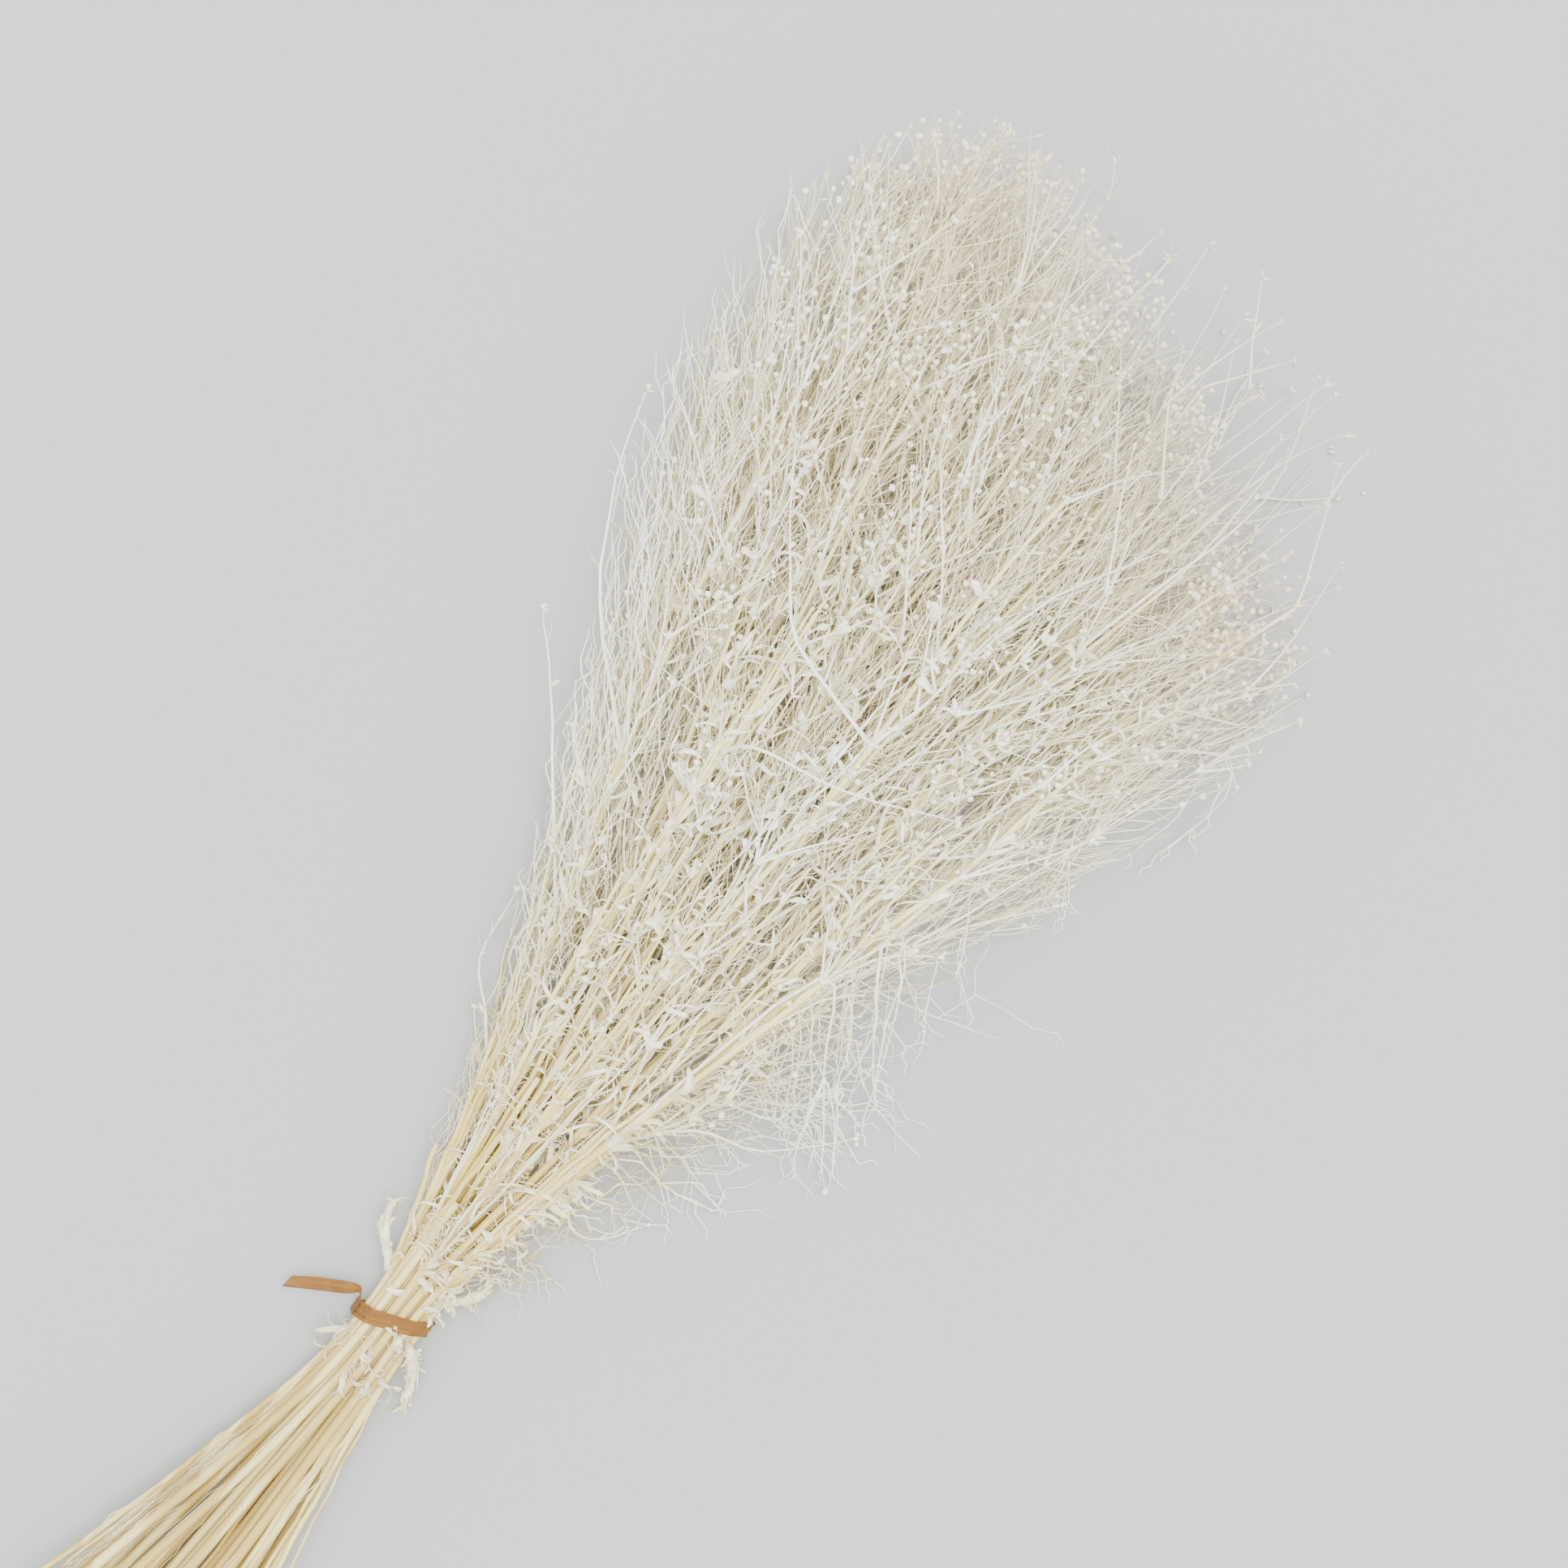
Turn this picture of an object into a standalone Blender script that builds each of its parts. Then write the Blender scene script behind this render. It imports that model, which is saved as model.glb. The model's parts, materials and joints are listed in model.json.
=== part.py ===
"""A tied bunch of preserved baby's breath, lying on its side.

+Y runs from the cut ends to the flower heads, +Z is up, and z = 0 is the surface that the
bunch lies on. The origin is on that surface, under the middle of the paper tie. Each cut stem,
with its branches, twigs, leaves and buds, is one solid, because it grew as one. The stems pass
the tie side by side, and no stem or twig runs through another.
"""

import math
import random
from collections import namedtuple

import bmesh
import bpy
import numpy as np
from mathutils import Matrix, Vector

# Driving dimensions, in metres
HEAD_LENGTH = 0.333
HEAD_HALF_WIDTH = 0.090
TAIL_LENGTH = 0.142
NECK_PITCH = 0.00285
STEMS_IN_LAYER = (4, 5, 6, 5, 4)
STEM_BASE_RADIUS = 0.0015
STEM_NECK_RADIUS = 0.00115
STEM_TOP_RADIUS = 0.00050
BRANCH_RADIUS = 0.00060
TWIG_RADIUS = 0.00045
BUD_RADIUS = 0.00135
BUD_LENGTH = 0.0026
LEAF_THICKNESS = 0.0006
LEAF_HALF_WIDTH = 0.0016
LEAF_LENGTH = (0.012, 0.020)
TIE_WIDTH = 0.0045
TIE_THICKNESS = 0.0006
TIE_SLANT = math.tan(math.radians(20))
TIE_GAP = 0.00045
STEM_GAP = 0.0003
ROD_GAP = 0.0005

# How the stems spread. A waist is the distance from the tie at which they are 1.4 times as wide.
HEAD_WAIST_ACROSS = 0.0300
HEAD_WAIST_UP = 0.0500
TAIL_WAIST_ACROSS = 0.0340
TAIL_WAIST_UP = 0.1000
TAIL_LEAN = 0.085
HEAD_LAYER_SKEW = 0.060
TAIL_LAYER_SKEW = 0.035
BEND_LENGTH = 0.030
SWAY = 0.012
SWAY_RATE = (38, 30)
DRIFT = 0.030

# The outline of the flower head: its start above the tie, and how it widens and rises from there
HEAD_MIDDLE_X = 0.004
HEAD_START_HALF_WIDTH = 0.0125
HEAD_START_HEIGHT = 0.018
HEAD_FLARE = 0.305
HEAD_CLIMB = 0.180
HEAD_TOP_DROP = 0.055
HEAD_SIDE_DROP = 0.45
FAN_ORIGIN = Vector((0.0, -0.020, 0.004))

# Where a stem bends, joins and ends
STEM_BENDS = (-0.085, -0.035, -0.006, 0.006, 0.024)
STEM_THIN_AT = 0.25
STEM_SHARE = (0.76, 0.93)
FIRST_JOINT = (0.040, 0.075)
JOINT_SPACING = (0.036, 0.052)
CUT_SHARE = (0.88, 1.0)

# What grows on a stem. The spread is in degrees, the share is of the way to the outline.
Shoot = namedtuple("Shoot", "spread turn_in steps thick thin shortest longest share")
BRANCH = Shoot((14, 42), 0.28, 3, BRANCH_RADIUS, TWIG_RADIUS, 0.030, 0.150, 0.95)
TWIG = Shoot((12, 50), 0.20, 1, TWIG_RADIUS, TWIG_RADIUS, 0.010, 0.042, 0.98)
SHOOT_LENGTHS = (0.7, 1.0)
TWIGS_PER_SPRAY = 15
TRIES = 16
GROWTH_SEED = 23
BUD_BELLY = 0.45
LEAF_ARCH = (0.6, 0.9, 1.4)
LEAF_WIDTHS = (0.45, 1.0, 0.8, 0.25)

# Worked out from the values above
LAYER_HEIGHT = NECK_PITCH * math.sqrt(3) / 2
LOW_LAYER_Z = TIE_THICKNESS + TIE_GAP + STEM_NECK_RADIUS
HALF_STACK = LAYER_HEIGHT * (len(STEMS_IN_LAYER) - 1) / 2
NECK_Z = LOW_LAYER_Z + HALF_STACK
REST_Z = BUD_RADIUS * 1.02

# Stems by lane number: bare ones and where they end, and ones that fork in three above the tie
BARE_STEMS = {0: 0.026, 20: 0.034, 22: 0.041}
LOW_FORKS = {21: 0.0145, 7: 0.022, 15: 0.026}
LEAFY_STEMS = (3, 4, 8, 11, 14, 16, 19, 23)

# Dry leaves that stand out round the tie: lane number, root, then the points that each passes
NECK_LEAVES = (
    (9, 0.0085, ((-0.0112, 0.0130, 0.010), (-0.0152, 0.0180, 0.013), (-0.0180, 0.0245, 0.012))),
    (14, -0.0030, ((0.0098, -0.0060, 0.008), (0.0128, -0.0105, 0.007), (0.0152, -0.0160, 0.005))),
    (19, -0.0020, ((0.0084, -0.0030, 0.013), (0.0118, -0.0065, 0.014), (0.0148, -0.0115, 0.012))),
    (8, 0.0100, ((0.0100, 0.0125, 0.006), (0.0135, 0.0165, 0.005), (0.0150, 0.0215, 0.004))),
)

# Stray twigs that stand out of the bunch: the points that each passes, after its root
STRAYS = (
    ((-0.048, 0.134, 0.020), (-0.062, 0.152, 0.020), (-0.075, 0.166, 0.016)),
    ((-0.027, 0.076, 0.012), (-0.036, 0.087, 0.012), (-0.039, 0.105, 0.010)),
    ((-0.064, 0.176, 0.030), (-0.079, 0.203, 0.030), (-0.086, 0.225, 0.027)),
    ((0.042, 0.255, 0.050), (0.051, 0.290, 0.056), (0.044, 0.320, 0.056)),
    ((0.034, 0.134, 0.034), (0.050, 0.114, 0.024), (0.068, 0.091, 0.006)),
    ((0.046, 0.142, 0.030), (0.054, 0.130, 0.022), (0.055, 0.113, 0.010)),
    ((0.032, 0.084, 0.018), (0.050, 0.090, 0.012), (0.066, 0.105, 0.006)),
    ((0.022, 0.046, 0.010), (0.030, 0.047, 0.007), (0.037, 0.056, 0.005)),
    ((-0.012, 0.170, 0.060), (0.012, 0.174, 0.064), (0.037, 0.184, 0.060)),
    ((-0.018, 0.196, 0.060), (-0.033, 0.213, 0.066), (-0.047, 0.234, 0.066)),
)

# The ends of the tie, from the knot: out, ahead, up, share of the tie's width, height of the fold
TIE_TAIL = (
    (0.0002, 0.0000, 0.0000, 0.32, 0.0002),
    (0.0020, 0.0034, 0.0008, 0.30, 0.0006),
    (0.0050, 0.0020, 0.0014, 0.64, 0.0010),
    (0.0118, -0.0018, 0.0012, 0.70, 0.0007),
    (0.0182, -0.0059, 0.0004, 0.66, 0.0003),
)
TIE_SHORT_END = (
    (0.0002, -0.0010, 0.0004, 0.80, 0.0),
    (0.0010, -0.0010, -0.0026, 0.72, 0.0),
    (0.0013, -0.0010, -0.0052, 0.85, 0.0),
)
TAIL_CROSSWISE = Vector((0.49, -0.87, 0.0))
TAIL_CUT = Vector((0.0010, 0.0005, 0.0))


def neck_lanes():
    """The places of the stems under the tie, across and up from its middle, packed like rods."""
    lanes = []
    for layer, count in enumerate(STEMS_IN_LAYER):
        up = layer * LAYER_HEIGHT - HALF_STACK
        for k in range(count):
            lanes.append(((k - (count - 1) / 2) * NECK_PITCH, up))
    return lanes


def lane_point(lane, y, wander):
    """Where a stem of this lane runs at y: the stack opens both ways from the tie.

    The stem's own wander is two phases for its sway, then its drift across and up."""
    across, up = lane
    layer = up / LAYER_HEIGHT
    past_bend = math.hypot(y, BEND_LENGTH) - BEND_LENGTH
    if y > 0:
        wide, tall = math.hypot(1, y / HEAD_WAIST_ACROSS), math.hypot(1, y / HEAD_WAIST_UP)
        x = across * wide + HEAD_LAYER_SKEW * layer * past_bend
        low = LOW_LAYER_Z
    else:
        wide, tall = math.hypot(1, y / TAIL_WAIST_ACROSS), math.hypot(1, y / TAIL_WAIST_UP)
        x = across * wide - (TAIL_LAYER_SKEW * layer + TAIL_LEAN) * past_bend
        low = LOW_LAYER_Z + (STEM_BASE_RADIUS - LOW_LAYER_Z) * min(1.0, -y / TAIL_LENGTH)
    x += past_bend * (SWAY * math.sin(SWAY_RATE[0] * y + wander[0]) + wander[2])
    z = low + (up + HALF_STACK) * tall
    z += past_bend * (SWAY * (1 + math.sin(SWAY_RATE[1] * y + wander[1])) + wander[3])
    return Vector((x, y, z))


def stem_radius(y):
    """Thickest at the cut end, thinnest at the top."""
    if y < 0:
        return STEM_NECK_RADIUS + (STEM_BASE_RADIUS - STEM_NECK_RADIUS) * min(1.0, -y / TAIL_LENGTH)
    return STEM_NECK_RADIUS + (STEM_TOP_RADIUS - STEM_NECK_RADIUS) * min(1.0, y / STEM_THIN_AT)


def fan_direction(point):
    """The way the bunch spreads at a point."""
    return (point - FAN_ORIGIN).normalized()


def head_room(point):
    """How far inside the outline of the flower head a point is.

    The head is a fan with a blunt round top, highest along its middle."""
    off_middle = abs(point.x - HEAD_MIDDLE_X)
    half_width = min(HEAD_START_HALF_WIDTH + HEAD_FLARE * point.y, HEAD_HALF_WIDTH)
    top = HEAD_LENGTH - HEAD_TOP_DROP * (point.x / HEAD_HALF_WIDTH) ** 4
    height = HEAD_START_HEIGHT + HEAD_CLIMB * point.y
    height *= 1 - HEAD_SIDE_DROP * (off_middle / half_width) ** 2
    return min(half_width - off_middle, top - point.y, height - point.z)


def reach_in_head(point, direction):
    """How far one can go from a point before leaving the outline of the head."""
    reach, step = 0.0, 0.004
    while reach < HEAD_LENGTH and head_room(point + direction * reach) > 0:
        reach += step
    return reach


def turned(direction, degrees, turn):
    """A direction tilted by so many degrees, to the side that the turn gives."""
    side = direction.orthogonal().normalized()
    side.rotate(Matrix.Rotation(turn, 3, direction))
    angle = math.radians(degrees)
    return direction * math.cos(angle) + side * math.sin(angle)


def segment_distances(a, b, starts, ends):
    """The shortest distance from the segment a to b to each of the segments starts to ends."""
    tiny = 1e-18
    along, others, between = b - a, ends - starts, a - starts
    aa = max(along @ along, tiny)
    bb = np.maximum(np.einsum("ij,ij->i", others, others), tiny)
    ab = others @ along
    a0 = between @ along
    b0 = np.einsum("ij,ij->i", others, between)
    s = np.clip((ab * b0 - a0 * bb) / np.maximum(aa * bb - ab * ab, tiny), 0, 1)
    t = np.clip((ab * s + b0) / bb, 0, 1)
    s = np.clip((ab * t - a0) / aa, 0, 1)
    gap = between + s[:, None] * along - t[:, None] * others
    return np.sqrt(np.einsum("ij,ij->i", gap, gap))


class Thicket:
    """Every rod grown so far, as straight stretches, each with its radius and its plant."""

    def __init__(self):
        self.stretches = np.empty((0, 8))
        self.tips = np.empty((0, 3))

    def add(self, plant, rod):
        points, radii = rod
        rows = [
            (*points[k], *points[k + 1], max(radii[k], radii[k + 1]), plant.number)
            for k in range(len(points) - 1)
        ]
        self.stretches = np.vstack((self.stretches, rows))
        self.tips = np.vstack((self.tips, points[-1]))

    def is_clear(self, plant, rod, gap=ROD_GAP):
        """Whether a new rod of the plant runs clear of the rods of all the other plants."""
        points, radii = rod
        others = self.stretches[self.stretches[:, 7] != plant.number]
        for k in range(1, len(points)):
            start, end = np.array(points[k - 1]), np.array(points[k])
            distances = segment_distances(start, end, others[:, 0:3], others[:, 3:6])
            if (distances < others[:, 6] + max(radii[k - 1], radii[k]) + gap).any():
                return False
        return True

    def loneliness(self, point):
        """How far a point is from the nearest bud."""
        return np.linalg.norm(self.tips - np.array(point), axis=1).min()


class Plant:
    """One cut stem and what grows on it, each as a rod: its points and its radii."""

    def __init__(self, number, lane):
        self.number = number
        self.lane = lane
        phases = any_turn(), any_turn()
        self.wander = (*phases, rng.uniform(-DRIFT, DRIFT), rng.uniform(0, DRIFT))
        self.is_bare = number in BARE_STEMS
        self.top = BARE_STEMS[number] if self.is_bare else self.draw_top()
        self.joints = [] if self.is_bare else self.draw_joints()
        cut = -TAIL_LENGTH * rng.uniform(*CUT_SHARE)
        places = sorted(y for y in {cut, *STEM_BENDS, *self.joints, self.top} if y <= self.top)
        self.stem = [self.at(y) for y in places], [stem_radius(y) for y in places]
        if not self.is_bare:
            self.stem = with_bud(*self.stem)
        self.branches = []
        self.twigs = []
        self.leaves = []

    def draw_top(self):
        """Most of the way to the outline, along the way the stem takes in mid head."""
        start = self.at(HEAD_LENGTH * 0.36)
        heading = (self.at(HEAD_LENGTH * 0.60) - start).normalized()
        return (start.y + reach_in_head(start, heading)) * rng.uniform(*STEM_SHARE)

    def draw_joints(self):
        """Where branches grow: two at a low fork, then one at each joint up the stem."""
        joints = [LOW_FORKS[self.number]] * 2 if self.number in LOW_FORKS else []
        y = rng.uniform(*FIRST_JOINT)
        while y < self.top - FIRST_JOINT[0]:
            joints.append(y)
            y += rng.uniform(*JOINT_SPACING)
        return joints

    def at(self, y):
        return lane_point(self.lane, y, self.wander)

    def ahead(self, y):
        near = 0.002
        return (self.at(y + near) - self.at(y - near)).normalized()

    def twig_places(self):
        """Where twigs may grow, with the way each place points, the outer places first."""
        places = [(self.at(y), self.ahead(y)) for y in self.joints[2:]]
        places.append((self.at(self.top), self.ahead(self.top)))
        for points, _ in self.branches:
            for k in range(1, BRANCH.steps + 1):
                places.append((points[k], (points[k + 1] - points[k]).normalized()))
        return sorted(places, key=lambda place: -place[0].y)


def any_turn():
    return rng.uniform(0, 2 * math.pi)


def with_bud(points, radii):
    """The rod with a bud at its end: a belly, then a point. Neither dips below the surface."""
    way = (points[-1] - points[-2]).normalized()
    belly, tip = points[-1] + way * BUD_LENGTH * BUD_BELLY, points[-1] + way * BUD_LENGTH
    belly.z, tip.z = max(belly.z, REST_Z), max(tip.z, REST_Z)
    return points + [belly, tip], radii + [BUD_RADIUS, 0.0]


def limb(base, heading, length, shoot):
    """A rod that sets off along heading and bends round to the bunch's own spread.

    What would dip below the surface lies along it."""
    points, radii = [base], [shoot.thick]
    for step in range(1, shoot.steps + 1):
        heading = (heading + shoot.turn_in * fan_direction(points[-1])).normalized()
        ahead = points[-1] + heading * length / shoot.steps
        ahead.z = max(ahead.z, REST_Z)
        points.append(ahead)
        radii.append(shoot.thick + (shoot.thin - shoot.thick) * step / shoot.steps)
    return with_bud(points, radii)


def offshoot(thicket, plant, base, ahead, shoot):
    """Of several drawn limbs, the one whose bud stands most alone, clear of other plants."""
    drawn = []
    for attempt in range(TRIES):
        turn = any_turn()
        heading = turned(ahead, rng.uniform(*shoot.spread), turn)
        way = (heading + shoot.turn_in * fan_direction(base)).normalized()
        length = min(shoot.longest, reach_in_head(base, way) * shoot.share)
        length *= rng.uniform(*SHOOT_LENGTHS)
        if length > shoot.shortest:
            rod = limb(base, heading, length, shoot)
            if head_room(rod[0][-1]) > 0:
                drawn.append((thicket.loneliness(rod[0][-1]), attempt, rod))
    for _, _, rod in sorted(drawn, reverse=True):
        if thicket.is_clear(plant, rod):
            thicket.add(plant, rod)
            return [rod]
    return []


def set_out_stems(thicket):
    """A stem in every lane under the tie, each one drawn again until it runs clear."""
    plants = []
    for number, lane in enumerate(neck_lanes()):
        plant = Plant(number, lane)
        while plants and not thicket.is_clear(plant, plant.stem, STEM_GAP):
            plant = Plant(number, lane)
        plants.append(plant)
        thicket.add(plant, plant.stem)
    return plants


def grow(thicket, plants):
    """Let every plant grow in turn: its branches, the strays, its leaves, then its twigs."""
    sprays = [plant for plant in plants if not plant.is_bare]
    for turn in range(max(len(plant.joints) for plant in sprays)):
        for plant in sprays:
            if turn < len(plant.joints):
                y = plant.joints[turn]
                plant.branches += offshoot(thicket, plant, plant.at(y), plant.ahead(y), BRANCH)
    for passes in STRAYS:
        grow_stray(thicket, sprays, [Vector(point) for point in passes])
    for number, y, passes in NECK_LEAVES:
        points = [plants[number].at(y), *(Vector(point) for point in passes)]
        add_leaf(thicket, plants[number], points, Vector((0, 0, 1)))
    for plant in sprays:
        if plant.number in LEAFY_STEMS:
            grow_leaves(thicket, plant, plant.joints[0])
    places = {plant.number: plant.twig_places() for plant in sprays}
    for turn in range(TWIGS_PER_SPRAY):
        for plant in sprays:
            mine = places[plant.number]
            plant.twigs += offshoot(thicket, plant, *mine[turn % len(mine)], TWIG)


def grow_stray(thicket, sprays, passes):
    """A stray twig through the given points, rooted on the nearest joint that leaves it clear."""
    aim = passes[0] - (passes[1] - passes[0]) * 0.8
    roots = [((plant.at(y) - aim).length, y, plant) for plant in sprays for y in plant.joints]
    for _, y, plant in sorted(roots, key=lambda root: root[:2]):
        rod = with_bud([plant.at(y), *passes], [BRANCH_RADIUS] * 2 + [TWIG_RADIUS] * 2)
        if thicket.is_clear(plant, rod):
            plant.twigs.append(rod)
            thicket.add(plant, rod)
            return


def leaf_rod(points):
    """The room that a leaf takes up: a rod along its midrib, as wide as the leaf."""
    return points, [LEAF_HALF_WIDTH] * len(points)


def add_leaf(thicket, plant, points, facing):
    """Give the plant a leaf along these points, with its flat side turned to facing."""
    across = (points[-1] - points[0]).cross(facing).normalized()
    plant.leaves.append((points, across))
    thicket.add(plant, leaf_rod(points))


def grow_leaves(thicket, plant, y):
    """Two thin leaves at a joint, arching out to the sides where there is room for them."""
    ahead = plant.ahead(y)
    for attempt in range(4 * TRIES):
        way = turned(ahead, 90, any_turn())
        length = rng.uniform(*LEAF_LENGTH)
        points = [plant.at(y)]
        for angle in LEAF_ARCH:
            step = ahead * math.cos(angle) + way * math.sin(angle)
            points.append(points[-1] + step * length / len(LEAF_ARCH))
            points[-1].z = max(points[-1].z, LEAF_HALF_WIDTH)
        if len(plant.leaves) < 2 and thicket.is_clear(plant, leaf_rod(points)):
            add_leaf(thicket, plant, points, way)


def section_curve(sides):
    """The outline that a rod is drawn with: a polygon of radius 1."""
    curve = bpy.data.curves.new(f"section_{sides}", "CURVE")
    curve.dimensions = "2D"
    spline = curve.splines.new("POLY")
    spline.points.add(sides - 1)
    for k, place in enumerate(spline.points):
        angle = 2 * math.pi * k / sides
        place.co = (math.cos(angle), math.sin(angle), 0, 1)
    spline.use_cyclic_u = True
    section = bpy.data.objects.new(f"section_{sides}", curve)
    section.hide_render = True
    section.display_type = "WIRE"
    helpers.objects.link(section)
    return section


def evaluated_mesh(thing, material):
    """The mesh that an object's curve or modifiers give, with one material."""
    graph = bpy.context.evaluated_depsgraph_get()
    mesh = bpy.data.meshes.new_from_object(thing.evaluated_get(graph))
    mesh.materials.clear()
    mesh.materials.append(material)
    return mesh


def tube(name, rod, sides, material):
    """A mesh object: a rod of that many sides through the points, closed at both ends."""
    curve = bpy.data.curves.new(name, "CURVE")
    curve.dimensions = "3D"
    curve.bevel_mode = "OBJECT"
    curve.bevel_object = sections[sides]
    curve.use_fill_caps = True
    spline = curve.splines.new("POLY")
    points, radii = rod
    spline.points.add(len(points) - 1)
    for place, point, radius in zip(spline.points, points, radii):
        place.co = (*point, 1.0)
        place.radius = radius
    drawn = bpy.data.objects.new(name + "_line", curve)
    helpers.objects.link(drawn)
    mesh = evaluated_mesh(drawn, material)
    bpy.data.objects.remove(drawn)
    bm = bmesh.new()
    bm.from_mesh(mesh)
    bmesh.ops.remove_doubles(bm, verts=bm.verts, dist=1e-6)
    bmesh.ops.recalc_face_normals(bm, faces=bm.faces)
    bm.to_mesh(mesh)
    bm.free()
    return bpy.data.objects.new(name, mesh)


def sheet(name, bm, thickness, offset, material):
    """An object made from an open surface by giving it a thickness. Frees the surface."""
    mesh = bpy.data.meshes.new(name)
    bm.to_mesh(mesh)
    bm.free()
    mesh.materials.append(material)
    thing = bpy.data.objects.new(name, mesh)
    solidify = thing.modifiers.new("thickness", "SOLIDIFY")
    solidify.thickness = thickness
    solidify.offset = offset
    return thing


def strip(name, rows, thickness, material):
    """A thin strip through rows of points, laid crosswise one after the other."""
    bm = bmesh.new()
    steps, columns = len(rows) - 1, len(rows[0]) - 1
    bmesh.ops.create_grid(bm, x_segments=steps, y_segments=columns, size=1.0)
    for vert in bm.verts:
        row = rows[round((vert.co.x + 1) / 2 * steps)]
        vert.co = row[round((vert.co.y + 1) / 2 * columns)]
    return sheet(name, bm, thickness, 0.0, material)


def blade(points, across, material):
    """A thin pointed leaf along its midrib, widest near its middle."""
    rows = []
    for point, share in zip(points, LEAF_WIDTHS):
        half = across * LEAF_HALF_WIDTH * share
        rows.append((point - half, point + half))
    return strip("leaf", rows, LEAF_THICKNESS, material)


def fuse(body, grown, material):
    """The body and what grows on it, joined into one solid by a single union."""
    operands = bpy.data.collections.new(body.name + "_grown")
    bpy.context.scene.collection.children.link(operands)
    for piece in grown:
        operands.objects.link(piece)
    bunch.objects.link(body)
    union = body.modifiers.new("grown", "BOOLEAN")
    union.operation = "UNION"
    union.operand_type = "COLLECTION"
    union.collection = operands
    union.solver = "MANIFOLD"
    mesh = evaluated_mesh(body, material)
    body.modifiers.clear()
    body.data = mesh
    for piece in grown:
        bpy.data.objects.remove(piece)
    bpy.data.collections.remove(operands)


def build_plant(name, plant, material):
    """One stem with all that grows on it, as one solid."""
    body = tube(name, plant.stem, 5, material)
    grown = [tube("limb", rod, 3, material) for rod in plant.branches + plant.twigs]
    grown += [blade(points, across, material) for points, across in plant.leaves]
    if grown:
        fuse(body, grown, material)
    else:
        bunch.objects.link(body)


def tie_line():
    """The closed line of the tie's inside, drawn tight round the stack of stems."""
    low, middle, high = ((STEMS_IN_LAYER[k] - 1) / 2 * NECK_PITCH for k in (0, 2, 4))
    corners = (
        (low, -HALF_STACK, -60),
        (middle, 0.0, 0),
        (high, HALF_STACK, 60),
        (-high, HALF_STACK, 120),
        (-middle, 0.0, 180),
        (-low, -HALF_STACK, 240),
    )
    radius = STEM_NECK_RADIUS + TIE_GAP
    line = []
    for across, up, facing in corners:
        for turn in (-30, 0, 30):
            angle = math.radians(facing + turn)
            x = across + radius * math.cos(angle)
            z = NECK_Z + up + radius * math.sin(angle)
            line.append(Vector((x, TIE_SLANT * x, z)))
    return line


def tie_end(knot, passes, crosswise):
    """Rows of points along an end of the tie, each from one edge over the fold to the other."""
    rows = []
    for out, ahead, up, share, fold in passes:
        middle = knot + Vector((-out, ahead, up))
        half = crosswise * TIE_WIDTH / 2 * share
        rows.append([middle - half, middle + Vector((0, 0, fold)), middle + half])
    return rows


def build_tie(material):
    """A flat paper strip once round the stems, with a folded tail and a short end at its knot."""
    bm = bmesh.new()
    line = tie_line()
    near_edge = bmesh.ops.create_circle(bm, segments=len(line), radius=1.0)["verts"]
    for vert, point in zip(near_edge, line):
        vert.co = point - Vector((0, TIE_WIDTH / 2, 0))
    extruded = bmesh.ops.extrude_edge_only(bm, edges=bm.edges[:])["geom"]
    far_edge = [item for item in extruded if isinstance(item, bmesh.types.BMVert)]
    bmesh.ops.translate(bm, vec=(0, TIE_WIDTH, 0), verts=far_edge)
    bmesh.ops.recalc_face_normals(bm, faces=bm.faces)
    band = sheet("tie", bm, TIE_THICKNESS, 1.0, material)
    band.modifiers["thickness"].use_even_offset = True

    knot = Vector((min(point.x for point in line) - TIE_THICKNESS / 2, -TIE_WIDTH / 2, NECK_Z))
    knot.z += TIE_THICKNESS
    tail = tie_end(knot, TIE_TAIL, TAIL_CROSSWISE)
    tail[-1][0] += TAIL_CUT
    tail[-1][-1] -= TAIL_CUT
    short_end = tie_end(knot, TIE_SHORT_END, Vector((0, 1, 0)))
    fuse(band, [strip("end", rows, TIE_THICKNESS, material) for rows in (tail, short_end)], material)


def paint(name, colour, roughness):
    """A plain surface of one colour."""
    material = bpy.data.materials.new(name)
    material.use_nodes = True
    surface = material.node_tree.nodes["Principled BSDF"]
    surface.inputs["Base Color"].default_value = (*colour, 1)
    surface.inputs["Roughness"].default_value = roughness
    surface.inputs["Metallic"].default_value = 0.0
    return material


# Start from an empty scene
for old in list(bpy.data.objects):
    bpy.data.objects.remove(old)
bunch = bpy.data.collections.new("baby_s_breath_bunch")
helpers = bpy.data.collections.new("helpers")
for group in (bunch, helpers):
    bpy.context.scene.collection.children.link(group)
sections = {sides: section_curve(sides) for sides in (3, 5)}

# Grow the stems, then make each one a solid
rng = random.Random(GROWTH_SEED)
thicket = Thicket()
plants = set_out_stems(thicket)
grow(thicket, plants)
spray_cream = paint("spray_cream", (0.80, 0.72, 0.50), 0.7)
stem_cream = paint("stem_cream", (0.78, 0.66, 0.40), 0.6)
tie_paper = paint("tie_paper", (0.57, 0.31, 0.12), 0.8)
for plant in plants:
    if plant.is_bare:
        build_plant(f"bare_stem_{plant.number + 1:02d}", plant, stem_cream)
    else:
        build_plant(f"spray_{plant.number + 1:02d}", plant, spray_cream)
build_tie(tie_paper)
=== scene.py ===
"""The looks of a tied bunch of preserved baby's breath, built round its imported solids.

The stems, branches and twigs are grown again by the rule that shaped the solids, so every fine
piece lies where its solid is. Threads, buds, leaves and curls are then added to each spray.
"""

import json
import math
import random
from collections import namedtuple
from functools import partial

import bmesh
import bpy
import numpy as np
from mathutils import Matrix, Quaternion, Vector, noise

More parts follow.
